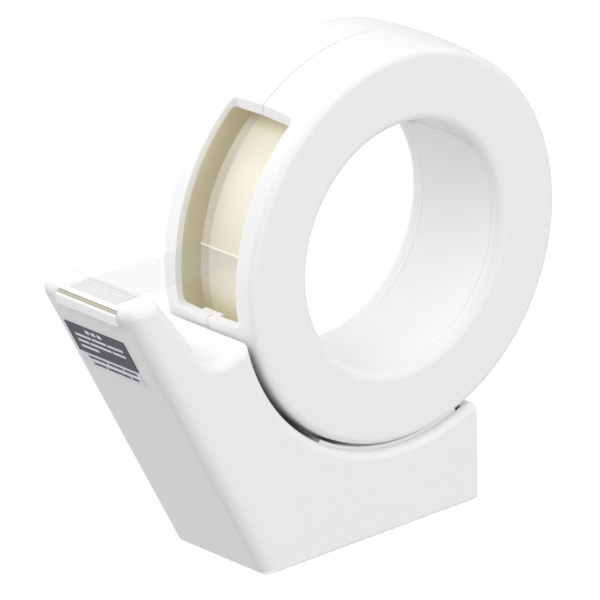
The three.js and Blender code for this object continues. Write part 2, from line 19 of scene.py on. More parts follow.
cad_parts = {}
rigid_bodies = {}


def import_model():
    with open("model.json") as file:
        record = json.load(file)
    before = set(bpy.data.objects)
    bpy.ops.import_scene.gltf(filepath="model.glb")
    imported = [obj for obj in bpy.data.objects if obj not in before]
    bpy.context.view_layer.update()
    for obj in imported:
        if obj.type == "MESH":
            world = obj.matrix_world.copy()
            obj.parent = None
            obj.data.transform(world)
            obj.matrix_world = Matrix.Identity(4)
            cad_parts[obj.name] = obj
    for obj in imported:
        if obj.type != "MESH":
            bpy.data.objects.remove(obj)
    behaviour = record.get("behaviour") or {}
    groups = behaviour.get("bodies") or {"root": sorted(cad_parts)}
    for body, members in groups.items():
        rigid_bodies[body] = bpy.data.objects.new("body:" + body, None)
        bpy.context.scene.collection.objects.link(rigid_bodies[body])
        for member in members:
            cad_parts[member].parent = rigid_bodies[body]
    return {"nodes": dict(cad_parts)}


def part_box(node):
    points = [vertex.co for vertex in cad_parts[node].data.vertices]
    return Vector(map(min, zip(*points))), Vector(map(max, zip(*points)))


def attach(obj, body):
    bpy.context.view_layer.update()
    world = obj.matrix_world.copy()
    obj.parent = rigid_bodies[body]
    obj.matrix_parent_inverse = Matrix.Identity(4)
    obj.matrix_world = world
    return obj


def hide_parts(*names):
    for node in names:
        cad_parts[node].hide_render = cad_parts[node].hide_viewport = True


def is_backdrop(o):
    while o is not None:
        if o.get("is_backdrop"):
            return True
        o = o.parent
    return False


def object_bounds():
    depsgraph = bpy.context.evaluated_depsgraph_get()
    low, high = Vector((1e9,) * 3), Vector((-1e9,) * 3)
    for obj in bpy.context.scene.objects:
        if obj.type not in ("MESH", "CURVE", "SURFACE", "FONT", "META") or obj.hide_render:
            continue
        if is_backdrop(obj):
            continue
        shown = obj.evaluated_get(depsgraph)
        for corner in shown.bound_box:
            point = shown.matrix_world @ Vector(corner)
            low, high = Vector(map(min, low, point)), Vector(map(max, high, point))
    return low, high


LOG = logging.getLogger("tape_dispenser")
MM = 0.001
FACET = 1.875  # degrees of turn for each facet about the ring's axis
WELD = 0.002 * MM
COLOUR_PATCH = 14.0 * MM
DULL_PATCH = 5.0 * MM

Span = tuple[float, float]
Outline = list[tuple[float, float]]
Edged = list[tuple[Vector, float]]
Test = Callable[[Vector, Vector], bool]


class Element(Enum):
    """What an edit-mode selection is made of."""

    POINTS = "VERT"
    EDGES = "EDGE"
    FACES = "FACE"


class Body(Enum):
    """The rigid bodies that pieces ride on."""

    BASE = "base"
    COVER = "cover"
    LOCK = "lock"
    ROLL = "roll"


# ---- Finishes ----


@dataclass(frozen=True)
class Finish:
    """A moulded or printed surface with fine grain and slight unevenness.

    Attributes:
        name: the material's name.
        colour: base colour, linear.
        roughness: how dull the surface is.
        grain: height of the fine texture.
        grain_size: width of one grain.
        mottle: how far the colour wanders, as a share.
        metallic: 1 for metal.
        alpha: 1 for opaque.
        coat: weight of the clear coat of highlights.
        stretch: how far the grain is drawn out along X.
        glow: share of light that passes into the material and scatters.
        lit: painted light: an even glow of its own colour that brightens the surface, though it is no lamp.
    """

    name: str
    colour: tuple[float, float, float]
    roughness: float = 0.4
    grain: float = 0.01 * MM
    grain_size: float = 0.35 * MM
    mottle: float = 0.015
    metallic: float = 0.0
    alpha: float = 1.0
    coat: float = 0.0
    stretch: float = 1.0
    glow: float = 0.0
    lit: float = 0.0

    def build(self) -> bpy.types.Material:
        """Makes the material, or returns the one already made.

        Returns:
            The Blender material.
        """
        made = bpy.data.materials.get(self.name)
        if made is not None:
            return made
        material = bpy.data.materials.new(self.name)
        material.use_nodes = True
        tree = material.node_tree
        shader = tree.nodes["Principled BSDF"]
        shader.inputs["Metallic"].default_value = self.metallic
        shader.inputs["Alpha"].default_value = self.alpha
        shader.inputs["Coat Weight"].default_value = self.coat
        shader.inputs["Coat Roughness"].default_value = 0.15
        if self.glow > 0.0:
            shader.inputs["Subsurface Weight"].default_value = self.glow
            shader.inputs["Subsurface Scale"].default_value = 2.0 * MM
        # The emission is painted light: an even glow that brightens the surface.
        shader.inputs["Emission Color"].default_value = (*self.colour, 1.0)
        shader.inputs["Emission Strength"].default_value = self.lit
        place = self._place(tree)
        self._colour(tree, shader, place)
        self._grain(tree, shader, place)
        return material

    def _place(self, tree: bpy.types.NodeTree) -> bpy.types.NodeSocket:
        """Object coordinates, drawn out along X by the finish's stretch.

        Args:
            tree: the material's nodes.

        Returns:
            The socket that gives the place.
        """
        coordinates = tree.nodes.new("ShaderNodeTexCoord")
        mapping = tree.nodes.new("ShaderNodeMapping")
        mapping.inputs["Scale"].default_value = (1.0 / self.stretch, 1.0, 1.0)
        tree.links.new(coordinates.outputs["Object"], mapping.inputs["Vector"])
        return mapping.outputs["Vector"]

    def _noise(
        self, tree: bpy.types.NodeTree, place: bpy.types.NodeSocket, size: float
    ) -> bpy.types.NodeSocket:
        """A noise pattern with features of one size.

        Args:
            tree: the material's nodes.
            place: the coordinates that it follows.
            size: width of a feature.

        Returns:
            The socket that gives the pattern, from 0 to 1.
        """
        noise = tree.nodes.new("ShaderNodeTexNoise")
        noise.inputs["Scale"].default_value = 1.0 / size
        noise.inputs["Detail"].default_value = 3.0
        tree.links.new(place, noise.inputs["Vector"])
        return noise.outputs["Fac"]

    def _colour(self, tree: bpy.types.NodeTree, shader: bpy.types.Node, place: bpy.types.NodeSocket) -> None:
        """Lets the colour and the roughness wander a little round their own values.

        Args:
            tree: the material's nodes.
            shader: the surface shader.
            place: the coordinates that the pattern follows.
        """
        ramp = tree.nodes.new("ShaderNodeValToRGB")
        low, high = ramp.color_ramp.elements[0], ramp.color_ramp.elements[1]
        low.position, high.position = 0.3, 0.7
        low.color = (*(channel * (1.0 - self.mottle) for channel in self.colour), 1.0)
        high.color = (*(min(1.0, channel * (1.0 + self.mottle)) for channel in self.colour), 1.0)
        tree.links.new(self._noise(tree, place, COLOUR_PATCH), ramp.inputs["Fac"])
        tree.links.new(ramp.outputs["Color"], shader.inputs["Base Color"])
        spread = tree.nodes.new("ShaderNodeMapRange")
        spread.inputs["To Min"].default_value = self.roughness * 0.9
        spread.inputs["To Max"].default_value = self.roughness * 1.1
        tree.links.new(self._noise(tree, place, DULL_PATCH), spread.inputs["Value"])
        tree.links.new(spread.outputs["Result"], shader.inputs["Roughness"])

    def _grain(self, tree: bpy.types.NodeTree, shader: bpy.types.Node, place: bpy.types.NodeSocket) -> None:
        """Adds the fine moulded texture as a bump.

        Args:
            tree: the material's nodes.
            shader: the surface shader.
            place: the coordinates that the pattern follows.
        """
        bump = tree.nodes.new("ShaderNodeBump")
        bump.inputs["Strength"].default_value = 0.6
        bump.inputs["Distance"].default_value = self.grain
        tree.links.new(self._noise(tree, place, self.grain_size), bump.inputs["Height"])
        tree.links.new(bump.outputs["Normal"], shader.inputs["Normal"])


@dataclass(frozen=True)
class WoundFinish(Finish):
    """Layers of clear tape on an opaque roll: fine rings on the side faces, and a darker strip along each
    edge, painted to stand in for the far side face seen through the clear tape.

    Attributes:
        axis: where the roll's axis is.
        side: half of the roll's width.
        strip: width of the darker strip along each edge.
        layer: distance between the rings that show.
        depth: how much darker the darkest layers are, as a share.
        strip_light: brightness of the lightest layers in the strip, as a share.
    """

    axis: tuple[float, float, float] = (0.0, 0.0, 0.0)
    side: float = 9.0 * MM
    strip: float = 3.1 * MM
    layer: float = 0.45 * MM
    depth: float = 0.32
    strip_light: float = 0.82

    def _colour(self, tree: bpy.types.NodeTree, shader: bpy.types.Node, place: bpy.types.NodeSocket) -> None:
        """Colours the layers by their distance from the roll's axis and from its side faces.

        Args:
            tree: the material's nodes.
            shader: the surface shader.
            place: the coordinates that the pattern follows.
        """
        centre = tree.nodes.new("ShaderNodeMapping")
        centre.inputs["Location"].default_value = tuple(-value for value in self.axis)
        rings = tree.nodes.new("ShaderNodeTexWave")
        rings.wave_type = "RINGS"
        rings.rings_direction = "X"
        rings.inputs["Scale"].default_value = 1.0 / (20.0 * self.layer)
        rings.inputs["Distortion"].default_value = 1.5
        rings.inputs["Detail"].default_value = 2.0
        split = tree.nodes.new("ShaderNodeSeparateXYZ")
        off = tree.nodes.new("ShaderNodeMath")
        off.operation = "ABSOLUTE"
        edge = tree.nodes.new("ShaderNodeMapRange")
        edge.inputs["From Min"].default_value = self.side - self.strip - 0.25 * MM
        edge.inputs["From Max"].default_value = self.side - self.strip + 0.25 * MM
        dim = 1.0 - self.depth
        dark = tuple(channel * dim ** (1.0 + 0.35 * k) for k, channel in enumerate(self.colour))
        light = tuple(channel * self.strip_light for channel in self.colour)
        layers = self._blend(tree, rings.outputs["Fac"], dark, light)
        whole = tree.nodes.new("ShaderNodeMix")
        whole.data_type = "RGBA"
        whole.inputs["A"].default_value = (*self.colour, 1.0)
        tree.links.new(place, centre.inputs["Vector"])
        tree.links.new(place, split.inputs["Vector"])
        tree.links.new(centre.outputs["Vector"], rings.inputs["Vector"])
        tree.links.new(split.outputs["X"], off.inputs[0])
        tree.links.new(off.outputs["Value"], edge.inputs["Value"])
        tree.links.new(edge.outputs["Result"], whole.inputs["Factor"])
        tree.links.new(layers, whole.inputs["B"])
        tree.links.new(whole.outputs["Result"], shader.inputs["Base Color"])
        shader.inputs["Roughness"].default_value = self.roughness

    @staticmethod
    def _blend(
        tree: bpy.types.NodeTree, share: bpy.types.NodeSocket, low: tuple[float, ...], high: tuple[float, ...]
    ) -> bpy.types.NodeSocket:
        """A colour between two, by a share.

        Args:
            tree: the material's nodes.
            share: 0 for the first colour and 1 for the second.
            low: the first colour.
            high: the second colour.

        Returns:
            The socket that gives the colour.
        """
        ramp = tree.nodes.new("ShaderNodeValToRGB")
        ramp.color_ramp.elements[0].color = (*low, 1.0)
        ramp.color_ramp.elements[1].color = (*high, 1.0)
        tree.links.new(share, ramp.inputs["Fac"])
        return ramp.outputs["Color"]


# The white plastic glows faintly with painted light.
WHITE = Finish("white_plastic", (0.88, 0.88, 0.888), roughness=0.38, lit=0.02)
INNER = Finish("inner_plastic", (0.80, 0.80, 0.80), roughness=0.5)
# The warm inside glows with painted light that brightens the inner walls.
WARM = Finish("warm_inside", (0.82, 0.77, 0.58), roughness=0.6, lit=0.16)
CORE = Finish("tape_core_board", (0.80, 0.74, 0.58), roughness=0.7, grain=0.03 * MM, mottle=0.04)
FILM = Finish("tape_film_clear", (0.44, 0.50, 0.54), roughness=0.25, alpha=0.085, grain=0.002 * MM)
# The strand's edge glows with painted light.
FILM_EDGE = Finish("tape_film_edge", (0.92, 0.90, 0.80), roughness=0.3, grain=0.002 * MM, lit=0.2)
SHADE = Finish("shaded_inside", (0.13, 0.115, 0.105), roughness=0.7)
STEEL = Finish("screw_steel_zinc", (0.60, 0.61, 0.62), roughness=0.32, metallic=1.0, stretch=6.0)
BLADE = Finish("blade_steel_ground", (0.74, 0.70, 0.55), roughness=0.45, metallic=0.35, stretch=12.0)
RUBBER = Finish("cup_rubber_milky", (0.72, 0.74, 0.75), roughness=0.3, glow=0.5)
DARK_LABEL = Finish("label_film_dark", (0.085, 0.075, 0.105), roughness=0.45, grain=0.004 * MM)
PALE_LABEL = Finish("label_film_pale", (0.84, 0.84, 0.88), roughness=0.45, grain=0.004 * MM)

UPPER_ROWS = (
    (1.0 * MM, 1.3 * MM, ((0.32, 0.39), (0.42, 0.49), (0.52, 0.59))),
    (3.5 * MM, 0.9 * MM, ((0.10, 0.36), (0.38, 0.62), (0.64, 0.90))),
    (5.6 * MM, 0.9 * MM, ((0.10, 0.28), (0.30, 0.66), (0.68, 0.90))),
    (7.7 * MM, 0.9 * MM, ((0.10, 0.40),)),
)
LOWER_ROWS = (
    (0.7 * MM, 0.9 * MM, ((0.12, 0.44), (0.46, 0.70), (0.72, 0.94))),
    (2.9 * MM, 0.9 * MM, ((0.16, 0.38), (0.40, 0.78), (0.80, 0.92))),
)


# ---- Modelling moves ----


class Bench:
    """Modelling moves that several pieces share, made with Blender's own operators."""

    @staticmethod
    def clear() -> None:
        """Deselects every object."""
        for item in bpy.context.view_layer.objects:
            item.select_set(False)

    @staticmethod
    def take(piece: bpy.types.Object) -> None:
        """Selects one object alone and makes it active.

        Args:
            piece: the object to work on.
        """
        Bench.clear()
        piece.select_set(True)
        bpy.context.view_layer.objects.active = piece

    @staticmethod
    def edit(piece: bpy.types.Object, kind: Element, test: Test | None = None, sharp: float = 0.0) -> None:
        """Goes into edit mode with a selection.

        Args:
            piece: the object to shape.
            kind: what to select.
            test: says from an element's centre and direction whether to take it; without it, all are taken.
            sharp: takes only edges where the surface turns by more than this, in degrees.
        """
        Bench.take(piece)
        bpy.context.tool_settings.mesh_select_mode = tuple(kind is one for one in Element)
        bpy.ops.object.mode_set(mode="EDIT")
        bpy.ops.mesh.select_all(action="DESELECT" if sharp or test else "SELECT")
        if sharp:
            bpy.ops.mesh.edges_select_sharp(sharpness=math.radians(sharp))
        if test is None:
            return
        Bench.leave()
        mesh = piece.data
        if kind is Element.EDGES:
            ends = [(item, *(mesh.vertices[i].co for i in item.vertices)) for item in mesh.edges]
            found = [(item, (a + b) / 2, (b - a).normalized()) for item, a, b in ends]
        else:
            found = [(item, item.center, item.normal) for item in mesh.polygons]
        for item, centre, direction in found:
            item.select = (item.select or not sharp) and test(centre, direction)
        bpy.ops.object.mode_set(mode="EDIT")

    @staticmethod
    def leave() -> None:
        """Goes back to object mode."""
        bpy.ops.object.mode_set(mode="OBJECT")

    @staticmethod
    def outward() -> None:
        """Turns every face outwards and leaves edit mode."""
        bpy.ops.mesh.select_all(action="SELECT")
        bpy.ops.mesh.normals_make_consistent(inside=False)
        Bench.leave()

    @staticmethod
    def named(name: str) -> bpy.types.Object:
        """Names the primitive that was just added.

        Args:
            name: its new name.

        Returns:
            The object.
        """
        piece = bpy.context.object
        piece.name = name
        piece.data.name = name
        return piece

    @staticmethod
    def loop(name: str, points: list[Vector]) -> bpy.types.Object:
        """A closed wire through some points, shaped from a circle.

        Args:
            name: the object's name.
            points: the places of its points, in order.

        Returns:
            The wire object.
        """
        Bench.clear()
        bpy.ops.mesh.primitive_circle_add(vertices=len(points), radius=1.0, fill_type="NOTHING")
        piece = Bench.named(name)
        for vertex, place in zip(piece.data.vertices, points, strict=True):
            vertex.co = place
        return piece

    @staticmethod
    def slab(name: str, outline: Outline, from_x: float, to_x: float) -> bpy.types.Object:
        """A flat-sided solid with one outline in side view.

        Args:
            name: the object's name.
            outline: (y, z) points in order.
            from_x: where it starts.
            to_x: where it ends.

        Returns:
            The solid.
        """
        piece = Bench.loop(name, [Vector((from_x, y, z)) for y, z in outline])
        Bench.edit(piece, Element.EDGES)
        bpy.ops.mesh.edge_face_add()
        bpy.ops.mesh.extrude_region_move(TRANSFORM_OT_translate={"value": (to_x - from_x, 0.0, 0.0)})
        Bench.outward()
        return piece

    @staticmethod
    def block(name: str, low: tuple[float, ...], high: tuple[float, ...]) -> bpy.types.Object:
        """A box between two corners, shaped from a cube.

        Args:
            name: the object's name.
            low: its lowest corner.
            high: its highest corner.

        Returns:
            The solid.
        """
        Bench.clear()
        bpy.ops.mesh.primitive_cube_add(size=2.0)
        piece = Bench.named(name)
        for vertex in piece.data.vertices:
            vertex.co = Vector(b if side > 0 else a for side, a, b in zip(vertex.co, low, high))
        return piece

    @staticmethod
    def skin(name: str, rings: list[list[Vector]]) -> bpy.types.Object:
        """A closed surface through a stack of closed outlines, capped at both ends.

        Args:
            name: the object's name.
            rings: outlines with the same number of points, from one end to the other.

        Returns:
            The solid.
        """
        Bench.clear()
        bpy.ops.mesh.primitive_grid_add(x_subdivisions=len(rings[0]), y_subdivisions=len(rings) - 1, size=1.0)
        piece = Bench.named(name)
        places = [place for ring in rings for place in (*ring, ring[0])]
        for vertex, place in zip(piece.data.vertices, places, strict=True):
            vertex.co = place
        Bench.edit(piece, Element.EDGES)
        bpy.ops.mesh.remove_doubles(threshold=0.001 * MM)
        bpy.ops.mesh.fill_holes(sides=0)
        Bench.outward()
        return piece

    @staticmethod
    def spun(
        name: str, profile: Outline, centre: Vector, start: float = 0.0, end: float = 360.0, steps: int = 192
    ) -> bpy.types.Object:
        """A profile turned about an axis along X.

        Args:
            name: the object's name.
            profile: (radius, x) points of a closed outline.
            centre: a point on the axis.
            start: angle where it starts, in degrees, from +Y towards +Z.
            end: angle where it ends.
            steps: number of facets.

        Returns:
            The solid.
        """
        turn = math.radians(start)
        points = [
            Vector((x, centre.y + radius * math.cos(turn), centre.z + radius * math.sin(turn)))
            for radius, x in profile
        ]
        piece = Bench.loop(name, points)
        Bench.edit(piece, Element.EDGES)
        bpy.ops.mesh.spin(
            steps=steps, angle=math.radians(start - end), center=tuple(centre), axis=(1.0, 0.0, 0.0)
        )
        bpy.ops.mesh.select_all(action="SELECT")
        bpy.ops.mesh.remove_doubles(threshold=WELD)
        if end - start < 360.0:
            bpy.ops.mesh.fill_holes(sides=0)
        Bench.outward()
        return piece

    @staticmethod
    def sector(name: str, centre: Vector, radii: Span, across: Span, turn: Span) -> bpy.types.Object:
        """A block bent about an axis along X.

        Args:
            name: the object's name.
            centre: a point on the axis.
            radii: inner and outer radius.
            across: where it starts and ends along X.
            turn: first and last angle in degrees.

        Returns:
            The solid.
        """
        profile = [(radii[0], across[0]), (radii[0], across[1]), (radii[1], across[1]), (radii[1], across[0])]
        steps = max(2, round((turn[1] - turn[0]) / FACET))
        return Bench.spun(name, profile, centre, turn[0], turn[1], steps)

    @staticmethod
    def rod(name: str, radius: float, start: Vector, end: Vector, sides: int = 32) -> bpy.types.Object:
        """A round rod between two places.

        Args:
            name: the object's name.
            radius: its radius.
            start: the middle of its first end.
            end: the middle of its last end.
            sides: number of facets.

        Returns:
            The solid.
        """
        Bench.clear()
        along = end - start
        bpy.ops.mesh.primitive_cylinder_add(vertices=sides, radius=radius, depth=along.length)
        piece = Bench.named(name)
        turn = Vector((0.0, 0.0, 1.0)).rotation_difference(along).to_matrix().to_4x4()
        piece.data.transform(Matrix.Translation((start + end) / 2) @ turn)
        return piece

    @staticmethod
    def carve(piece: bpy.types.Object, *tools: bpy.types.Object, operation: str = "DIFFERENCE") -> None:
        """Cuts a piece with some tools, or joins them, and removes the tools.

        Args:
            piece: the object that is kept.
            tools: the objects that are used up.
            operation: DIFFERENCE, UNION or INTERSECT.
        """
        for tool in tools:
            Bench.take(piece)
            modifier = piece.modifiers.new("carve", "BOOLEAN")
            modifier.operation = operation
            modifier.solver = "EXACT"
            modifier.object = tool
            bpy.ops.object.modifier_apply(modifier=modifier.name)
            bpy.data.objects.remove(tool)

    @staticmethod
    def gather(piece: bpy.types.Object, *others: bpy.types.Object) -> None:
        """Makes several objects one without merging their surfaces.

        Args:
            piece: the object that is kept.
            others: the objects that are used up.
        """
        Bench.take(piece)
        for other in others:
            other.select_set(True)
        bpy.ops.object.join()

    @staticmethod
    def bevel(piece: bpy.types.Object, width: float, segments: int, test: Test, sharp: float = 0.0) -> None:
        """Rounds the edges that pass a test.

        Args:
            piece: the object to shape.
            width: how far the rounding reaches from the edge.
            segments: number of facets across it.
            test: says from an edge's centre and direction whether to round it.
            sharp: takes only edges where the surface turns by more than this, in degrees.
        """
        Bench.edit(piece, Element.EDGES, test, sharp)
        bpy.ops.mesh.bevel(offset=width, segments=segments, profile=0.5, affect="EDGES", clamp_overlap=True)
        Bench.leave()

    @staticmethod
    def soften(piece: bpy.types.Object, width: float, angle: float = 40.0, segments: int = 2) -> None:
        """Takes the sharpness off every edge that turns by more than an angle.

        Args:
            piece: the object to shape.
            width: how far the rounding reaches.
            angle: the least angle between two faces, in degrees.
            segments: number of facets across it.
        """
        Bench.take(piece)
        modifier = piece.modifiers.new("soften", "BEVEL")
        modifier.width = width
        modifier.segments = segments
        modifier.limit_method = "ANGLE"
        modifier.angle_limit = math.radians(angle)
        bpy.ops.object.modifier_apply(modifier=modifier.name)

    @staticmethod
    def smooth(piece: bpy.types.Object, angle: float = 35.0) -> None:
        """Shades a piece smooth, apart from edges sharper than an angle.

        Args:
            piece: the object to shade.
            angle: the sharpest edge that is still smooth, in degrees.
        """
        Bench.take(piece)
        bpy.ops.object.shade_smooth_by_angle(angle=math.radians(angle))
        modifier = piece.modifiers.new("even", "WEIGHTED_NORMAL")
        modifier.keep_sharp = True
        bpy.ops.object.modifier_apply(modifier=modifier.name)

    @staticmethod
    def refined(node: bpy.types.Object, name: str, width: float) -> bpy.types.Object:
        """A copy of a plain solid with its corners softened.

        Args:
            node: the solid to copy.
            name: the copy's name.
            width: how far the softening reaches.

        Returns:
            The copy.
        """
        Bench.take(node)
        bpy.ops.object.duplicate()
        piece = Bench.named(name)
        piece.data.materials.clear()
        Bench.edit(piece, Element.EDGES)
        bpy.ops.mesh.remove_doubles(threshold=WELD)
        bpy.ops.mesh.dissolve_limited(angle_limit=math.radians(1.0))
        Bench.outward()
        Bench.soften(piece, width)
        Bench.smooth(piece)
        return piece

    @staticmethod
    def paint(piece: bpy.types.Object, finish: Finish, test: Test) -> None:
        """Gives the faces that pass a test a finish of their own.

        Args:
            piece: the object, which already has its main finish.
            finish: the second finish.
            test: says from a face's centre and normal whether to change it.
        """
        piece.data.materials.append(finish.build())
        index = len(piece.data.materials) - 1
        for face in piece.data.polygons:
            if test(face.center, face.normal):
                face.material_index = index

    @staticmethod
    def dress(
        piece: bpy.types.Object, finish: Finish, body: Body, slot: str, *nodes: str
    ) -> bpy.types.Object:
        """Gives a finished piece its material and its body, and hides the nodes of the frame that it stands
        for.

        Args:
            piece: the finished object.
            finish: its main surface.
            body: what it moves with.
            slot: the record's material slot; not used.
            nodes: the nodes of the frame that it stands for.

        Returns:
            The same object.
        """
        if not piece.data.materials:
            piece.data.materials.append(finish.build())
        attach(piece, body.value)
        if nodes:
            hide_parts(*nodes)
        LOG.info("%s: %d faces", piece.name, len(piece.data.polygons))
        return piece


def polar(centre: Vector, radius: float, turn: float) -> Vector:
    """The (y, z) point at a radius and an angle about an axis along X.

    Args:
        centre: a point on the axis.
        radius: the distance from it.
        turn: the angle in degrees, from +Y towards +Z.

    Returns:
        The point.
    """
    way = math.radians(turn)
    return centre.yz + radius * Vector((math.cos(way), math.sin(way)))


def turn_of(place: Vector, centre: Vector) -> float:
    """The angle of a place about an axis along X.

    Args:
        place: the place.
        centre: a point on the axis.

    Returns:
        The angle in degrees from 0 to 360, from +Y towards +Z.
    """
    arm = (place - centre).yz
    return math.degrees(math.atan2(arm.y, arm.x)) % 360.0


def rounded(corners: list[tuple[float, float, float]], step: float = 12.0) -> list[tuple[float, float]]:
    """Rounds the corners of a closed outline.

    Args:
        corners: (y, z, radius) of each corner, in order.
        step: degrees of turn for each facet.

    Returns:
        The outline's points.
    """
    points: list[tuple[float, float]] = []
    for i, (y, z, radius) in enumerate(corners):
        here = Vector((y, z))
        to_last = Vector(corners[i - 1][:2]) - here
        to_next = Vector(corners[(i + 1) % len(corners)][:2]) - here
        half = to_last.angle(to_next) / 2
        reach = min(radius / math.tan(half), 0.45 * min(to_last.length, to_next.length))
        if reach < 0.02 * MM:
            points.append((y, z))
            continue
        radius = reach * math.tan(half)
        first, last = here + to_last.normalized() * reach, here + to_next.normalized() * reach
        centre = here + (to_last.normalized() + to_next.normalized()).normalized() * (radius / math.sin(half))
        begin, end = first - centre, last - centre
        sweep = math.pi - 2 * half
        sign = 1.0 if begin.x * end.y - begin.y * end.x > 0 else -1.0
        count = max(2, math.ceil(math.degrees(sweep) / step))
        for k in range(count + 1):
            turned = begin.copy()
            turned.rotate(Matrix.Rotation(sign * sweep * k / count, 2))
            points.append((centre.x + turned.x, centre.y + turned.y))
    return points


# ---- Ring housing ----


@dataclass
class RingHousing:
    """The two half shells of the ring and the lock slide in its bore.

    Attributes:
        centre: the middle of the ring.
        radius: outer radius at the middle seam.
        half: half of the ring's width.
        roll: the tape roll's outer radius.
        wall: thickness of the shells.
        draft: how much smaller the radius is at the side faces.
        rim: radius of the rounded outer rim.
        bore: radius of the bore.
        bore_edge: radius of the rounding between a side face and the bore.
        bore_lip: height of the shells' edge where they meet the lining.
        bore_seam: where the lining meets the right half, from the middle plane.
        left_bore_seam: the same for the lock's panel and the left half.
        white_rim: width of the inner side wall next to the bore that keeps the shells' colour.
        sleeve: thickness of the lining.
        seam: half of the gap between the halves.
        bore_gap: gap at each seam in the bore.
        window_turn: where the window starts and ends, in degrees.
        window_lean: how far its top end face leans, in degrees.
        window_inset: how much further on that face meets the roll, in degrees.
        window_half: half of its width.
        window_depth: how far its top end face runs straight in.
        window_corner: radius of its corners.
        window_edge: radius of its softened outer edge.
        tongue_reach: how far the tongue laps under the left half.
        tongue_wall: its thickness.
        tongue_turn: where it starts and ends, in degrees.
        lock_turn: where the lock's panel starts and ends, in degrees.
        lock_travel: how far it turns, in degrees.
        lock_wall: the panel's thickness.
        recess_end: where the recess above the panel ends, in degrees.
        trough: radius of the floor that the panel slides on.
        rail: where the right rail starts and ends along X.
        left_rail: the same for the left rails, away from the middle plane.
        tabs: where the left tabs start, in degrees.
        tab_turn: how long a tab is, in degrees.
        collar: inner and outer radius of the collar behind the lining.
        collar_end: where the left half's collar ends along X.
        hub_half: half of the hub's width.
        lugs: where the lock's lugs start, in degrees.
        lug_turn: how long a lug is, in degrees.
        keeper_turn: where a keeper starts and ends, from its lug's start, in degrees.
        locators: where the blocks that centre the cover start, in degrees.
        locator_turn: how long such a block is, in degrees.
        feet: where the feet stand, in degrees.
        foot_radius: radius of a foot.
        foot_x: where the feet stand along X.
        pad_turn: where the pad starts and ends, in degrees.
        pad_depth: how far it stands out from the ring.
        pad_setback: how far it stays behind the side faces.
        clearance: the usual gap between pieces that move.
    """

    centre: Vector
    radius: float
    half: float
    roll: float
    wall: float = 2.0 * MM
    draft: float = 0.9 * MM
    rim: float = 2.1 * MM
    bore: float = 33.2 * MM
    bore_edge: float = 2.6 * MM
    bore_lip: float = 1.0 * MM
    bore_seam: float = 13.9 * MM
    left_bore_seam: float = 12.1 * MM
    white_rim: float = 5.0 * MM
    sleeve: float = 2.0 * MM
    seam: float = 0.11 * MM
    bore_gap: float = 0.05 * MM
    window_turn: Span = (127.0, 190.0)
    window_lean: float = 3.0
    window_inset: float = 3.2
    window_half: float = 11.5 * MM
    window_depth: float = 2.7 * MM
    window_corner: float = 2.2 * MM
    window_edge: float = 0.55 * MM
    tongue_reach: float = 4.0 * MM
    tongue_wall: float = 1.2 * MM
    tongue_turn: Span = (190.0, 480.0)
    lock_turn: Span = (-62.0, 36.0)
    lock_travel: float = 12.0
    lock_wall: float = 1.0 * MM
    recess_end: float = 84.0
    trough: float = 34.5 * MM
    rail: Span = (11.4 * MM, 13.6 * MM)
    left_rail: Span = (9.6 * MM, 11.8 * MM)
    tabs: Span = (5.0, -50.0)
    tab_turn: float = 20.0
    collar: Span = (35.5 * MM, 36.7 * MM)
    collar_end: float = -11.3 * MM
    hub_half: float = 9.3 * MM
    lugs: Span = (20.0, -40.0)
    lug_turn: float = 8.0
    keeper_turn: Span = (-12.0, -1.0)
    locators: tuple[float, ...] = (100.0, 160.0, 220.0)
    locator_turn: float = 30.0
    feet: Span = (248.0, 282.0)
    foot_radius: float = 3.2 * MM
    foot_x: float = -8.7 * MM
    pad_turn: Span = (238.5, 290.5)
    pad_depth: float = 1.6 * MM
    pad_setback: float = 2.8 * MM
    clearance: float = 0.3 * MM

    def build(self) -> None:
        """Builds the half shells and the lock slide."""
        left = self._shell("ring_shell_body", -1)
        self._line_bore(left)
        self._finish(left)
        Bench.dress(left, WHITE, Body.BASE, "white_plastic", "ring_shell")
        right = self._shell("ring_cover_body", 1)
        self._add_tongue(right)
        self._finish(right)
        Bench.dress(right, WHITE, Body.COVER, "white_plastic", "ring_cover")
        self._lock()

    @staticmethod
    def _round(centre: Span, size: float, start: float, end: float) -> Outline:
        """Points of a small round edge.

        Args:
            centre: the rounding's centre, as its radius and its distance from the middle plane.
            size: the rounding's own radius.
            start: first angle in degrees, from outward towards the side face.
            end: last angle in degrees.

        Returns:
            (radius, x) points.
        """
        turns = [math.radians(start + (end - start) * k / 8) for k in range(9)]
        return [(centre[0] + size * math.cos(turn), centre[1] + size * math.sin(turn)) for turn in turns]

    def _profile(self, side: int) -> Outline:
        """The section of one half shell.

        Args:
            side: -1 for the left half, 1 for the right half.

        Returns:
            (radius, x) points of the closed outline.
        """
        side_radius = self.radius - self.draft
        inner = self.half - self.wall
        reach = self.half - self.rim
        lip = (self.left_bore_seam if side < 0 else self.bore_seam) + self.bore_gap
        crown = [
            (self.radius - self.draft * share**1.7, self.seam + (reach - self.seam) * share)
            for share in (0.0, 0.2, 0.4, 0.6, 0.8)
        ]
        bore_corner = (self.bore + self.bore_edge, self.half - self.bore_edge)
        section = [
            *crown,
            *self._round((side_radius - self.rim, self.half - self.rim), self.rim, 0.0, 90.0),
            *self._round(bore_corner, self.bore_edge, 90.0, 180.0),
            (self.bore, lip),
            (self.bore + self.bore_lip, lip),
            (self.bore + self.bore_lip, inner),
            (self.bore + self.white_rim, inner),
            (side_radius - self.wall, inner),
            (self.radius - self.wall, self.seam),
        ]
        return [(radius, side * across) for radius, across in section]

    def _bent(self, name: str, radii: Span, across: Span, turn: Span) -> bpy.types.Object:
        """A block bent about the ring's axis.

        Args:
            name: the object's name.
            radii: inner and outer radius.
            across: where it starts and ends along X.
            turn: first and last angle in degrees.

        Returns:
            The solid.
        """
        return Bench.sector(name, self.centre, radii, across, turn)

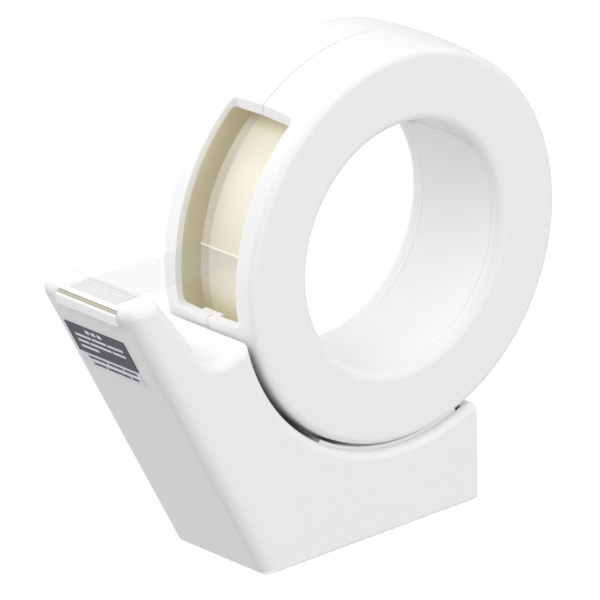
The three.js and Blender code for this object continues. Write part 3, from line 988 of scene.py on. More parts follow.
    def _shell(self, name: str, side: int) -> bpy.types.Object:
        """Builds one half shell with its half of the window, whose outer edge is softened.

        Args:
            name: the piece's name.
            side: -1 for the left half, 1 for the right half.

        Returns:
            The half shell.
        """
        shell = Bench.spun(name, self._profile(side), self.centre)
        Bench.carve(shell, self._window_hole())
        Bench.bevel(shell, self.window_edge, 3, self._on_window_mouth, sharp=30.0)
        return shell

    def _window_hole(self) -> bpy.types.Object:
        """The solid that cuts the window: its top end face leans, its bottom one follows the radius."""
        start, end = self.window_turn
        count = round((end - start) / FACET)
        turns = [start + (end - start) * k / count for k in range(count + 1)]
        lean = math.radians(self.window_lean)
        inward = Vector((-math.sin(lean), -math.cos(lean)))
        edge = polar(self.centre, self.radius, start)
        outline = [
            edge - inward * 4.0 * MM,
            edge + inward * self.window_depth,
            *(polar(self.centre, self.roll, turn) for turn in turns if turn > start + self.window_inset),
            *(polar(self.centre, self.radius + 4.0 * MM, turn) for turn in turns[::-1]),
        ]
        half = self.window_half
        hole = Bench.slab("window_hole", [tuple(point) for point in outline], -half, half)
        Bench.bevel(hole, self.window_corner, 6, self._along_radius(half))
        return hole

    def _along_radius(self, reach: float) -> Test:
        """Picks the edges that stand on the axis' radius at a distance from the middle plane.

        Args:
            reach: the distance from the middle plane.

        Returns:
            The test.
        """

        def test(centre: Vector, along: Vector) -> bool:
            """Whether one edge is such an edge."""
            outward = Vector((0.0, *(centre - self.centre).yz)).normalized()
            return abs(abs(centre.x) - reach) < 0.05 * MM and abs(outward.dot(along)) > 0.7

        return test

    def _on_window_mouth(self, centre: Vector, _along: Vector) -> bool:
        """Whether an edge runs round the window's mouth on the ring's outer surface.

        Args:
            centre: the edge's middle.

        Returns:
            Whether it does.
        """
        start, end = self.window_turn
        across = abs(centre.x)
        near = start - 0.6 < turn_of(centre, self.centre) < end + 0.6
        outside = (centre - self.centre).yz.length > self.radius - self.draft
        return near and outside and self.seam + 0.01 * MM < across < self.window_half + 0.2 * MM

    def _line_bore(self, shell: bpy.types.Object) -> None:
        """Adds the fixed part of the bore's lining, the collar and the feet to the left half shell.

        Args:
            shell: the left half shell.
        """
        outer = self.bore + self.sleeve
        # The lining ends a hair before the panel starts, and the panel has its travel and a degree above it.
        start, top = self.lock_turn[0] - 0.02, self.lock_turn[1] + self.lock_travel + 1.0
        edge, deep = self.bore_seam - self.bore_gap, -self.half + self.wall - 0.5 * MM
        floor, gap = (self.trough, outer), self.clearance
        left_end, sleeve_start = -self.half + self.bore_edge, self.recess_end
        Bench.carve(
            shell,
            self._bent("trough", floor, (deep, self.rail[0] - gap), (start - 1.0, top + 1.0)),
            self._bent("recess", floor, (deep, edge), (top, self.recess_end + 1.0)),
            self._bent("sleeve", (self.bore, outer), (left_end, edge), (sleeve_start, 360.0 + start)),
            self._bent("collar", self.collar, (deep, self.collar_end), (start, top)),
            *(self._foot(turn) for turn in self.feet),
            operation="UNION",
        )
        slot = self.tab_turn + self.lock_travel + 1.0
        radii = (self.trough - 0.2 * MM, outer + 0.15 * MM)
        across = (self.wall - self.half, gap - self.left_rail[0])
        Bench.carve(
            shell,
            *(self._bent("tab_slot", radii, across, (tab - 1.0, tab + slot)) for tab in self.tabs),
        )
        for pad in self._pads():
            Bench.carve(shell, pad, operation="UNION")
        inner = self.radius - self.wall - self.tongue_wall - 0.5 * MM
        first, last = self.tongue_turn
        Bench.carve(
            shell,
            self._bent(
                "tongue_room", (inner, self.radius - self.wall + 0.05 * MM),
                (-self.tongue_reach - 0.12 * MM, 1.0 * MM), (first - 1.0, last + 1.0),
            ),
            self._bent(
                "corner_hole", (self.trough - 0.1 * MM, outer + 0.1 * MM),
                (-self.left_bore_seam, 1.2 * MM - self.left_bore_seam),
                (self.lock_turn[1] + 0.2, self.lock_turn[1] + 2.6),
            ),
        )

    def _pads(self) -> list[bpy.types.Object]:
        """The pad under the ring that fills the base's saddle: its left part, then its right part."""
        outer, reach = self.radius + self.pad_depth, self.half - self.pad_setback
        return [
            self._bent("pad", (self.radius - self.wall / 2, outer), (-reach, -self.seam), self.pad_turn),
            self._bent("pad", (self.radius + 0.15 * MM, outer), (-1.0 * MM, reach), self.pad_turn),
        ]

    def _foot(self, turn: float) -> bpy.types.Object:
        """One foot that stands in the base's saddle.

        Args:
            turn: its angle in degrees.

        Returns:
            The solid.
        """
        way = Vector((0.0, math.cos(math.radians(turn)), math.sin(math.radians(turn))))
        middle = Vector((self.foot_x, self.centre.y, self.centre.z))
        start, end = middle + way * (self.roll + 1.0 * MM), middle + way * (self.radius + self.pad_depth)
        return Bench.rod("foot", self.foot_radius, start, end, 40)

    def _add_tongue(self, shell: bpy.types.Object) -> None:
        """Adds the tongue that laps under the left half, and the collar's blocks, to the right half shell.

        Args:
            shell: the right half shell.
        """
        outer = self.radius - self.wall - 0.05 * MM
        inner = outer - self.tongue_wall
        start, end = self.tongue_turn
        # The tongue starts a little before its root, so that their end faces don't coincide.
        lap, root = (start - 0.25, end), (start + 0.3, end)
        first, last = self.keeper_turn
        across = (self.hub_half + 0.9 * MM, self.half - self.wall + 0.5 * MM)
        Bench.carve(
            shell,
            self._bent("root", (inner, self.radius - self.wall / 2), (self.seam, 3.0 * MM), root),
            self._bent("tongue", (inner, outer), (-self.tongue_reach, 3.0 * MM), lap),
            *(self._bent("keeper", self.collar, across, (lug + first, lug + last)) for lug in self.lugs),
            *(
                self._bent("locator", self.collar, across, (turn, turn + self.locator_turn))
                for turn in self.locators
            ),
            operation="UNION",
        )

    def _finish(self, shell: bpy.types.Object) -> None:
        """Shades a half shell and colours its inside.

        Args:
            shell: the half shell.
        """
        Bench.smooth(shell)
        shell.data.materials.append(WHITE.build())
        inner = self.half - self.wall

        def inside(centre: Vector, normal: Vector) -> bool:
            """Whether a face is on the half shell's hidden side."""
            arm = (centre - self.centre).yz
            if abs(centre.x) > inner + 0.1 * MM or arm.length < self.bore + self.white_rim - 1.0 * MM:
                return False
            if abs(normal.x) > 0.9:
                return abs(abs(centre.x) - inner) < 0.1 * MM
            return arm.length < self.radius - 1.2 * MM and arm.normalized().dot(normal.yz) < -0.7

        # The warm finish on the inside carries a glow of painted light.
        Bench.paint(shell, WARM, inside)

    def _lock(self) -> None:
        """Builds the lock slide with its tabs and lugs."""
        across = (self.bore_gap - self.left_bore_seam, self.bore_seam - self.bore_gap)
        inner, outer = self.bore + self.lock_wall, self.bore + self.sleeve
        tab = self.half - self.wall - self.clearance
        (rail, end), (left_rail, left_end) = self.rail, self.left_rail
        run = (self.lock_turn[0] + 2.0, self.lock_turn[1] - 2.0)
        panel = self._bent("lock_slide_panel", (self.bore, inner), across, self.lock_turn)
        left = [(turn, turn + self.tab_turn) for turn in self.tabs]
        lip = (self.lock_turn[1] - 1.2, self.lock_turn[1])
        root = inner - 0.5 * MM
        Bench.carve(
            panel,
            self._bent("end_lip", (root, self.trough - 0.03 * MM), (self.clearance - left_end, end), lip),
            self._bent("rail", (root, outer), (rail, end), run),
            self._bent("tab", (self.trough, outer), (rail, tab), run),
            *(self._bent("rail", (root, outer), (-left_end, -left_rail), turn) for turn in left),
            *(self._bent("tab", (self.trough, outer), (-tab, -left_rail), turn) for turn in left),
            *(
                self._bent("lug", (outer - 0.5 * MM, self.collar[1]), (rail, end), (lug, lug + self.lug_turn))
                for lug in self.lugs
            ),
            operation="UNION",
        )
        Bench.bevel(panel, 0.5 * MM, 5, self._on_panel_end, sharp=30.0)
        Bench.smooth(panel)
        Bench.dress(panel, WHITE, Body.LOCK, "white_plastic", "lock_slide")

    def _on_panel_end(self, centre: Vector, along: Vector) -> bool:
        """Whether an edge is an end of the lock slide's panel on the bore's side.

        Args:
            centre: the edge's middle.
            along: its direction.

        Returns:
            Whether it is.
        """
        return abs(along.x) > 0.9 and (centre - self.centre).yz.length < self.bore + 0.1 * MM


# ---- Tape roll ----


@dataclass
class TapeRoll:
    """The wound tape, its core and the hub ring that they sit on.

    Attributes:
        centre: the middle of the roll.
        radius: outer radius of the wound tape.
        half: half of the tape's width.
        core_inner: inner radius of the core.
        core_wall: its thickness.
        hub_wall: thickness of the hub ring.
        hub_gap: gap between the hub and the core.
        rim_height: how far the hub's rim stands out.
        rim_width: its width.
    """

    centre: Vector
    radius: float
    half: float
    core_inner: float = 38.1 * MM
    core_wall: float = 1.6 * MM
    hub_wall: float = 2.2 * MM
    hub_gap: float = 0.3 * MM
    rim_height: float = 2.6 * MM
    rim_width: float = 1.4 * MM

    def build(self) -> None:
        """Builds the core, the wound tape and the hub."""
        core_outer = self.core_inner + self.core_wall
        core = self._tube("tape_core_board", self.core_inner, core_outer, 0.15 * MM)
        Bench.dress(core, CORE, Body.ROLL, "tape_core", "tape_core")
        wound = self._tube("tape_roll_wound", core_outer + 0.02 * MM, self.radius, 0.12 * MM)
        # The roll's glow is painted light, and its darker edge strips are painted shade that stands in for
        # the view through the clear tape.
        finish = WoundFinish(
            "wound_tape_layers", (0.83, 0.79, 0.66), roughness=0.3, grain=0.004 * MM, lit=0.06,
            axis=tuple(self.centre), side=self.half,
        )
        Bench.dress(wound, finish, Body.ROLL, "wound_tape", "tape_roll")
        self._hub()

    def _tube(self, name: str, inner: float, outer: float, edge: float) -> bpy.types.Object:
        """A short tube about the roll's axis with softened edges.

        Args:
            name: the piece's name.
            inner: inner radius.
            outer: outer radius.
            edge: size of the softened edges.

        Returns:
            The solid.
        """
        half = self.half
        profile = [
            (inner, -half + edge), (inner, half - edge), (inner + edge, half), (outer - edge, half),
            (outer, half - edge), (outer, -half + edge), (outer - edge, -half), (inner + edge, -half),
        ]
        piece = Bench.spun(name, profile, self.centre)
        Bench.smooth(piece)
        return piece

    def _hub(self) -> None:
        """Builds the hub ring with the rim that stops the core."""
        outer = self.core_inner - self.hub_gap
        inner = outer - self.hub_wall
        reach = self.half + self.hub_gap
        rim = outer + self.rim_height
        profile = [
            (inner, -reach - self.rim_width), (inner, reach), (outer, reach), (outer, -reach),
            (rim, -reach), (rim, -reach - self.rim_width),
        ]
        hub = Bench.spun("hub_ring_body", profile, self.centre)
        Bench.soften(hub, 0.3 * MM)
        Bench.smooth(hub)
        Bench.dress(hub, INNER, Body.ROLL, "inner_plastic", "hub_ring")


# ---- Base ----


@dataclass(frozen=True)
class Side:
    """One straight side of the base's side view.

    Attributes:
        at: a (y, z) point on it.
        along: its direction.
        inward: the direction into the solid.
        edge: how far the rounding of its edges reaches.
    """

    at: Vector
    along: Vector
    inward: Vector
    edge: float

    def moved(self, share: float, extra: float = 0.0) -> Vector:
        """The point on it after it moves inwards by a share of its edge and by an extra distance.

        Args:
            share: the share of its edge.
            extra: the extra distance.

        Returns:
            The (y, z) point.
        """
        return self.at + self.inward * (self.edge * share + extra)


@dataclass
class Base:
    """The hollow base with its head and cradle.

    Attributes:
        centre: the middle of the ring that it holds.
        ring: the ring's outer radius.
        half: half of the base's width.
        wall: thickness of the shell.
        plate: height of the base plate, which the posts stand on.
        cradle_gap: gap between the ring and the cradle.
        cradle_front: where the cradle ends at the front, in degrees.
        cradle_back: where it ends at the back, in degrees.
        cradle_edge: how far the rounding of its edges reaches.
        front_lean: how far the front face leans from upright, in degrees.
        head_back_lean: the same for the back of the head.
        dip_rise: how steeply the dip behind the head rises, in degrees.
        rest_above_axis: height of the tape rest above the ring's axis.
        head_back: distance from the ring to the back of the head.
        head_length: length of the head.
        head_depth: height of the solid part of the head.
        ear_rise: how far the ears stand above the rest.
        channel_half: half of the width between the ears.
        saddle_drop: depth of the saddle below the cradle.
        slot_front: where the slot in the cradle starts, in degrees.
        rib_turn: where the rib between the slot and the saddle starts and ends, in degrees.
        saddle_turn: where the saddle starts and ends, in degrees.
        notch_turn: how long the notch behind the saddle is, in degrees.
        bottom_edge: how far the rounding of the bottom's edges reaches.
        back_edge: the same for the back face.
        dip_edge: the same for the dip.
        head_edge: the same for the back and the top of the head.
        front_edge: the same for the front face.
        left_soft: the last two on the left side, as a share of the right side's.
        foot_round: radius of the corners at the bottom.
        back_round: radius of the corner between the back face and the cradle.
        tip_round: radius of the corner between the dip and the cradle.
        dip_round: radius of the hollow between the dip and the head.
        ear_round: radius of the head's two upper corners.
        boss_inset: distance of a post's middle from the side wall.
        boss_margin: the same from the front and back faces.
        boss_radius: radius of a post.
        boss_top: height of its top.
        pilot_radius: radius of the hole in it.
        pilot_top: height of the hole's end.
        steps: facets across a rounded edge.
    """

    centre: Vector
    ring: float
    half: float
    wall: float = 2.2 * MM
    plate: float = 3.0 * MM
    cradle_gap: float = 1.0 * MM
    cradle_front: float = 192.3
    cradle_back: float = 297.2
    cradle_edge: float = 2.4 * MM
    front_lean: float = 28.06
    head_back_lean: float = 36.3
    dip_rise: float = 19.4
    rest_above_axis: float = 7.1 * MM
    head_back: float = 28.5 * MM
    head_length: float = 11.7 * MM
    head_depth: float = 16.2 * MM
    ear_rise: float = 1.2 * MM
    channel_half: float = 11.3 * MM
    saddle_drop: float = 0.9 * MM
    slot_front: float = 196.0
    rib_turn: Span = (235.0, 236.2)
    saddle_turn: Span = (238.0, 291.0)
    notch_turn: float = 1.5
    bottom_edge: float = 1.0 * MM
    back_edge: float = 1.3 * MM
    dip_edge: float = 3.0 * MM
    head_edge: float = 3.6 * MM
    front_edge: float = 4.0 * MM
    left_soft: float = 0.25
    foot_round: float = 1.2 * MM
    back_round: float = 2.2 * MM
    tip_round: float = 0.7 * MM
    dip_round: float = 9.0 * MM
    ear_round: float = 3.0 * MM
    boss_inset: float = 3.2 * MM
    boss_margin: float = 6.5 * MM
    boss_radius: float = 3.4 * MM
    boss_top: float = 14.0 * MM
    pilot_radius: float = 1.5 * MM
    pilot_top: float = 12.5 * MM
    steps: int = 7

    def __post_init__(self) -> None:
        """Works out the places that several pieces share."""
        self.cradle = self.ring + self.cradle_gap
        self.rest_z = self.centre.z + self.rest_above_axis
        self.back_of_head = self.centre.y - self.ring - self.head_back
        self.nose_y = self.back_of_head - self.head_length
        self.slope = math.tan(math.radians(self.front_lean))
        self.foot_y = self.nose_y + self.rest_z * self.slope
        self.ear_top = self.rest_z + self.ear_rise
        self.back_y = self.polar(self.cradle, self.cradle_back).x
        self.floor = self.rest_z - self.head_depth
        self.skin = [place for place, _edge in self.outline()]

    def front_y(self, z: float) -> float:
        """Where the front face is at a height.

        Args:
            z: the height.

        Returns:
            Its place along Y.
        """
        return self.foot_y - z * self.slope

    def polar(self, radius: float, angle: float) -> Vector:
        """The (y, z) point at a radius and an angle in degrees about the ring's axis.

        Args:
            radius: the distance from the axis.
            angle: the angle.

        Returns:
            The point.
        """
        return polar(self.centre, radius, angle)

    def _sides(self, soft: float = 1.0) -> dict[str, Side]:
        """The straight sides of the side view, by name.

        Args:
            soft: share by which the edges of the front and the head are rounded.

        Returns:
            The sides.
        """
        rise, lean, front = (
            math.radians(value) for value in (self.dip_rise, self.head_back_lean, self.front_lean)
        )
        back_of_head = Vector((self.back_of_head, self.rest_z))
        up_front = Vector((-math.sin(front), math.cos(front)))
        up_head = Vector((-math.sin(lean), math.cos(lean)))
        up_dip = Vector((math.cos(rise), math.sin(rise)))
        up, down, forward, level = (Vector(way) for way in ((0, 1), (0, -1), (-1, 0), (1, 0)))
        dip, foot = self.polar(self.cradle, self.cradle_front), Vector((self.foot_y, 0.0))
        head_edge, front_edge = self.head_edge * soft, self.front_edge * soft
        return {
            "bottom": Side(Vector((0.0, 0.0)), level, up, self.bottom_edge),
            "back": Side(Vector((self.back_y, 0.0)), up, forward, self.back_edge),
            "dip": Side(dip, up_dip, Vector((up_dip.y, -up_dip.x)), self.dip_edge),
            "head": Side(back_of_head, up_head, Vector((-up_head.y, up_head.x)), head_edge),
            "top": Side(Vector((0.0, self.ear_top)), level, down, head_edge),
            "front": Side(foot, up_front, Vector((up_front.y, -up_front.x)), front_edge),
        }

    @staticmethod
    def _corner(first: Side, last: Side, radius: float, hollow: bool, share: float, count: int) -> Edged:
        """A rounded corner between two straight sides.

        Args:
            first: the side before the corner.
            last: the side after it.
            radius: the corner's radius before the sides move.
            hollow: whether the corner points into the solid.
            share: how far the sides have moved inwards.
            count: number of facets.

        Returns:
            The corner's points, each with its edge width.
        """
        grown = radius + (1 if hollow else -1) * min(first.edge, last.edge) * share
        grown = max(grown, 0.04 * MM)
        extra = -grown if hollow else grown
        a, b = first.moved(share, extra), last.moved(share, extra)
        reach = (b - a).cross(last.along) / first.along.cross(last.along)
        centre = a + first.along * reach
        sign = 1 if hollow else -1
        begin, end = first.inward * sign * grown, last.inward * sign * grown
        sweep = math.atan2(begin.cross(end), begin.dot(end))
        points = []
        for k in range(count + 1):
            turned = Matrix.Rotation(sweep * k / count, 2) @ begin
            points.append((centre + turned, first.edge + (last.edge - first.edge) * k / count))
        return points

    def _cradle_corner(self, side: Side, radius: float, share: float, count: int) -> Edged:
        """A rounded corner between a straight side and the cradle.

        Args:
            side: the straight side.
            radius: the corner's radius before the sides move.
            share: how far the sides have moved inwards.
            count: number of facets.

        Returns:
            Points from the straight side to the cradle, each with its edge width.
        """
        grown = max(radius - min(side.edge, self.cradle_edge) * share, 0.04 * MM)
        around = self.cradle + self.cradle_edge * share
        start = side.moved(share, grown) - self.centre.yz
        middle = start.dot(side.along)
        spare = math.sqrt(middle**2 - start.length_squared + (around + grown) ** 2)
        reach = -middle - spare
        centre = self.centre.yz + start + side.along * reach
        begin = -side.inward * grown
        end = (self.centre.yz - centre).normalized() * grown
        sweep = math.atan2(begin.cross(end), begin.dot(end))
        return [
            (
                centre + Matrix.Rotation(sweep * k / count, 2) @ begin,
                side.edge + (self.cradle_edge - side.edge) * k / count,
            )
            for k in range(count + 1)
        ]

    def outline(self, share: float = 0.0, soft: float = 1.0) -> Edged:
        """The base's side view after its sides move inwards.

        Args:
            share: 0 for the full outline, 1 for the outline that stays flat on the side faces.
            soft: share by which the edges of the front and the head are rounded.

        Returns:
            (y, z) points, each with its edge width.
        """
        side = self._sides(soft)
        back = self._cradle_corner(side["back"], self.back_round, share, 8)
        tip = self._cradle_corner(side["dip"], self.tip_round, share, 5)[::-1]
        arms = [points[-1 if points is back else 0][0] - self.centre.yz for points in (back, tip)]
        start, end = (math.degrees(math.atan2(arm.y, arm.x)) % 360.0 for arm in arms)
        count = 60
        around = self.cradle + self.cradle_edge * share
        arc = [
            (self.polar(around, start + (end - start) * k / count), self.cradle_edge) for k in range(1, count)
        ]
        return [
            *self._corner(side["front"], side["bottom"], self.foot_round, False, share, 6),
            *self._corner(side["bottom"], side["back"], self.foot_round, False, share, 6),
            *back, *arc, *tip,
            *self._corner(side["dip"], side["head"], self.dip_round, True, share, 18),
            *self._corner(side["head"], side["top"], self.ear_round, False, share, 10),
            *self._corner(side["top"], side["front"], self.ear_round, False, share, 12),
        ]

    def _body(self) -> bpy.types.Object:
        """The solid base with its rounded edges."""
        rings = []
        for side in (-1, 1):
            turns = [math.pi / 2 * k / self.steps for k in range(self.steps + 1)]
            for turn in turns if side > 0 else turns[::-1]:
                level = self.outline(1.0 - math.cos(turn), 1.0 if side > 0 else self.left_soft)
                inset = 1.0 - math.sin(turn)
                rings.append([Vector((side * (self.half - edge * inset), *place)) for place, edge in level])
        return Bench.skin("base_shell_body", rings)

    def _hollow(self) -> bpy.types.Object:
        """The room inside the base, open at the bottom, with a solid head above it."""
        sides = self._sides()
        front, back, dip, head = (
            Side(sides[name].at, sides[name].along, sides[name].inward, self.wall)
            for name in ("front", "back", "dip", "head")
        )
        below = Side(Vector((0.0, -5.0 * MM)), Vector((1.0, 0.0)), Vector((0.0, 1.0)), 0.0)
        lid = Side(Vector((0.0, self.floor)), Vector((1.0, 0.0)), Vector((0.0, -1.0)), 0.0)
        around = self.cradle + self.wall
        reach = self.back_y - self.wall - self.centre.y
        start = 360.0 - math.degrees(math.acos(reach / around))
        end = self.cradle_front + 2.5
        arc = [self.polar(around, start + (end - start) * k / 40) for k in range(41)]
        points = [
            self._corner(front, below, 0.0, False, 1.0, 1)[0][0],
            self._corner(below, back, 0.0, False, 1.0, 1)[0][0],
            *arc,
            *(place for place, _edge in self._corner(dip, head, self.dip_round, True, 1.0, 8)),
            self._corner(head, lid, 0.0, False, 1.0, 1)[0][0],
            self._corner(lid, front, 0.0, False, 1.0, 1)[0][0],
        ]
        reach = self.half - self.wall
        return Bench.slab("hollow", [tuple(point) for point in points], -reach, reach)

    def _cradle_tools(self) -> list[bpy.types.Object]:
        """The slot, the saddle and the notch that are cut into the cradle."""
        span = (-self.half + self.wall, self.half - self.wall)
        top, deep = self.cradle - 8.0 * MM, self.cradle + 2.0 * self.wall
        saddle = self.cradle + self.saddle_drop
        front, back = self.saddle_turn
        return [
            Bench.sector("slot", self.centre, (top, deep), span, (self.slot_front, front)),
            Bench.sector("saddle", self.centre, (top, saddle), span, (front - 0.5, back)),
            Bench.sector("notch", self.centre, (top, deep), span, (back, back + self.notch_turn)),
        ]

    def build(self) -> None:
        """Builds the shell of the base."""
        shell = self._body()
        Bench.carve(shell, self._hollow(), *self._cradle_tools(), *Head(self).pockets())
        reach = self.half - self.wall + 0.5 * MM
        rib = Bench.sector(
            "rib", self.centre, (self.cradle + self.saddle_drop, self.cradle + 2.0 * self.wall),
            (-reach, reach), self.rib_turn,
        )
        Bench.carve(shell, rib, *self._bosses(), operation="UNION")
        Bench.carve(shell, *self._pilots())
        Bench.bevel(shell, 1.0 * MM, 4, self._on_ear, sharp=30.0)
        Bench.smooth(shell)
        shell.data.materials.append(WHITE.build())
        inner = self.half - self.wall

        def inside(centre: Vector, normal: Vector) -> bool:
            """Whether a face is in the room inside the base or in the slot above it."""
            away = (centre.yz - self.centre.yz).length
            in_slot = away > self.cradle + 1.2 * self.saddle_drop
            wall = abs(centre.x) < inner + 0.05 * MM and centre.z < self.floor + 0.1 * MM
            outer = abs(normal.x) < 0.5 and self._on_skin(centre)
            return wall and in_slot and self.slot_front - 1.0 < turn_of(centre, self.centre) and not outer

        Bench.paint(shell, SHADE, inside)
        Bench.dress(shell, WHITE, Body.BASE, "white_plastic", "base_shell")

    def _on_skin(self, place: Vector) -> bool:
        """Whether a place is on the base's outer surface, apart from the cradle.

        Args:
            place: the place.

        Returns:
            Whether it is.
        """
        sides = self._sides()
        faces = (sides[name] for name in ("bottom", "back", "front"))
        return any((place.yz - face.at).dot(face.inward) < 0.6 * MM for face in faces)

    def _on_ear(self, centre: Vector, _along: Vector) -> bool:
        """Whether an edge runs along an ear's inner wall where it meets the outer skin.

        Args:
            centre: the edge's middle.

        Returns:
            Whether it does.
        """
        if abs(abs(centre.x) - self.channel_half) > 0.05 * MM or centre.z < self.rest_z + 0.3 * MM:
            return False
        ends = zip(self.skin, self.skin[1:] + self.skin[:1])
        return any(self._off(centre.yz, start, end) < 0.06 * MM for start, end in ends)

    @staticmethod
    def _off(place: Vector, start: Vector, end: Vector) -> float:
        """How far a (y, z) point is from a straight piece of outline.

        Args:
            place: the point.
            start: where the piece starts.
            end: where it ends.

        Returns:
            The distance.
        """
        along = end - start
        share = (place - start).dot(along) / max(along.length_squared, 1e-18)
        return (place - start - along * min(1.0, max(0.0, share))).length

    def boss_places(self) -> list[Vector]:
        """Where the screws of the base plate stand, as (x, y)."""
        x = self.half - self.wall - self.boss_inset
        rows = (self.foot_y + self.boss_margin, self.back_y - self.boss_margin)
        return [Vector((side * x, y)) for y in rows for side in (-1, 1)]

    def _posts(self, name: str, radius: float, low: float, high: float) -> list[bpy.types.Object]:
        """A rod at each place where a screw of the base plate stands.

        Args:
            name: the rods' name.
            radius: their radius.
            low: height of their lower ends.
            high: height of their upper ends.

        Returns:
            The rods.
        """
        return [
            Bench.rod(name, radius, Vector((*place, low)), Vector((*place, high)))
            for place in self.boss_places()
        ]

    def _bosses(self) -> list[bpy.types.Object]:
        """The posts that the base plate is screwed to."""
        return self._posts("boss", self.boss_radius, self.plate + 0.3 * MM, self.boss_top)

    def _pilots(self) -> list[bpy.types.Object]:
        """The holes in those posts."""
        return self._posts("pilot", self.pilot_radius, -1.0 * MM, self.pilot_top)


@dataclass
class Head:
    """The cutting head: the channel, the tape rest, the blade and the lip in front of it.

    Attributes:
        base: the base that carries it.
        gap: gap between the pieces.
        rest_thickness: thickness of the tape rest.
        rest_back_wall: thickness of the shell behind it.
        blade_thickness: thickness of the blade.
        blade_width: its width from edge to edge.
        blade_setback: how far its upper edge is behind the nose.
        blade_drop: how far that edge is below the rest.
        lip_forward: how far the lip stands in front of that edge.
        lip_height: the lip's height.
        groove_shares: where the rest's grooves are, from its front to its back.
        groove_width: width of a groove.
        groove_depth: its depth.
        groove_margin: how far a groove stays from the rest's ends.
    """

    base: Base
    gap: float = 0.3 * MM
    rest_thickness: float = 2.0 * MM
    rest_back_wall: float = 1.6 * MM
    blade_thickness: float = 0.6 * MM
    blade_width: float = 5.5 * MM
    blade_setback: float = 0.8 * MM
    blade_drop: float = 1.1 * MM
    lip_forward: float = 0.7 * MM
    lip_height: float = 3.5 * MM
    groove_shares: tuple[float, ...] = (0.26, 0.38, 0.50, 0.62, 0.74, 0.86)
    groove_width: float = 0.3 * MM
    groove_depth: float = 0.12 * MM
    groove_margin: float = 2.3 * MM

    def __post_init__(self) -> None:
        """Works out where the blade's top edge is."""
        base = self.base
        behind_nose = self.blade_setback + self.blade_drop / 2
        self.edge = Vector((base.nose_y + behind_nose, base.rest_z - self.blade_drop))
        self.side = self.blade_thickness / 2 + self.gap
        self.rest_top = base.rest_z - self.gap
        self.rest_floor = self.rest_top - self.rest_thickness
        self.rest_back = base.back_of_head - self.rest_back_wall
        self.lip_low = self.edge.y - self.lip_height - self.gap

    def at_blade(self, out: float, down: float) -> Vector:
        """A (y, z) point measured out from the blade's middle and down along it.

        Args:
            out: the distance in front of its middle.
            down: the distance down from its upper edge.

        Returns:
            The point.
        """
        root = math.sqrt(0.5)
        return self.edge + Vector((-root, -root)) * out + Vector((root, -root)) * down

    def behind(self, height: float) -> Vector:
        """The (y, z) point just behind the blade at a height.

        Args:
            height: the height.

        Returns:
            The point.
        """
        down = (self.edge.y + self.side * math.sqrt(0.5) - height) * math.sqrt(2.0)
        return self.at_blade(-self.side, down)

    def pockets(self) -> list[bpy.types.Object]:
        """The solids that cut the channel and the seats of the rest, the blade and the lip."""
        base = self.base
        reach = base.channel_half
        above, ahead = base.ear_top + 6.0 * MM, base.nose_y - 6.0 * MM
        back = self.rest_back + self.gap
        low = self.at_blade(-self.side, self.blade_width + self.gap)
        under = self.rest_floor - self.gap
        rest = [(back, above), (ahead, above), (ahead, under), (back, under)]
        seat = [
            tuple(self.at_blade(-self.side, -self.blade_drop)),
            tuple(self.at_blade(-self.side, self.blade_drop + self.rest_thickness)),
            tuple(low),
            (low.x - self.blade_thickness, self.lip_low - self.gap),
            (ahead, self.lip_low - self.gap),
            (ahead, above),
        ]
        channel = [
            (ahead, base.rest_z), (base.back_of_head + 8.0 * MM, base.rest_z),
            (base.back_of_head + 8.0 * MM, above), (ahead, above),
        ]
        return [Bench.slab("pocket", outline, -reach, reach) for outline in (rest, seat, channel)]

    def build(self) -> None:
        """Builds the rest, the blade and the lip."""
        reach = self.base.channel_half - 0.01 * MM
        self._rest(reach)
        self._blade(reach)
        self._lip(reach)

    def _rest(self, reach: float) -> None:
        """Builds the tape rest with its fine ridges.

        Args:
            reach: half of its width.
        """
        front = self.behind(self.rest_top)
        top = self.rest_top + 0.25 * MM
        outline = [
            tuple(self.behind(self.rest_floor)), (self.rest_back + 0.2 * MM, self.rest_floor),
            (self.rest_back + 0.2 * MM, top), (front.x - 0.25 * MM, top),
            (front.x - 0.3 * MM, top - 0.2 * MM),
        ]
        rest = Bench.slab("tape_rest_pad", outline, -reach, reach)
        half = reach - self.groove_margin
        for share in self.groove_shares:
            y = front.x + (self.rest_back - front.x) * share
            low, high = (-half, y, top - self.groove_depth), (half, y + self.groove_width, top + 1.0 * MM)
            Bench.carve(rest, Bench.block("groove", low, high))
        Bench.smooth(rest)
        Bench.dress(rest, WHITE, Body.BASE, "white_plastic", "tape_rest")

    def _blade(self, reach: float) -> None:
        """Builds the blade with a ground bevel on its cutting edge.

        Args:
            reach: half of its width.
        """
        half = self.blade_thickness / 2
        outline = [
            self.at_blade(-half, -0.25 * MM), self.at_blade(-half * 0.4, -0.25 * MM),
            self.at_blade(half, 0.15 * MM),
            self.at_blade(half, self.blade_width), self.at_blade(-half, self.blade_width),
        ]
        blade = Bench.slab("blade_strip", [tuple(point) for point in outline], -reach, reach)
        Bench.dress(blade, BLADE, Body.BASE, "blade_steel", "blade")

    def _lip(self, reach: float) -> None:
        """Builds the round lip in front of the blade.

        Args:
            reach: half of its width.
        """
        base = self.base
        bottom = self.edge.y - self.lip_height
        face = self.blade_thickness / 2 + 0.03 * MM
        corners = [
            (*self.at_blade(face, 0.25 * MM), 0.1 * MM),
            (self.edge.x - self.lip_forward, self.edge.y - 0.75 * MM, 1.1 * MM),
            (self.edge.x - self.lip_forward * 0.75, bottom, 0.5 * MM),
            (base.front_y(bottom) + 0.6 * MM, self.lip_low, 0.1 * MM),
            (*self.at_blade(face, self.blade_width - 0.3 * MM), 0.1 * MM),
        ]
        lip = Bench.slab("blade_lip_bar", rounded(corners), -reach, reach)
        Bench.smooth(lip)
        Bench.dress(lip, WHITE, Body.BASE, "white_plastic", "blade_lip")


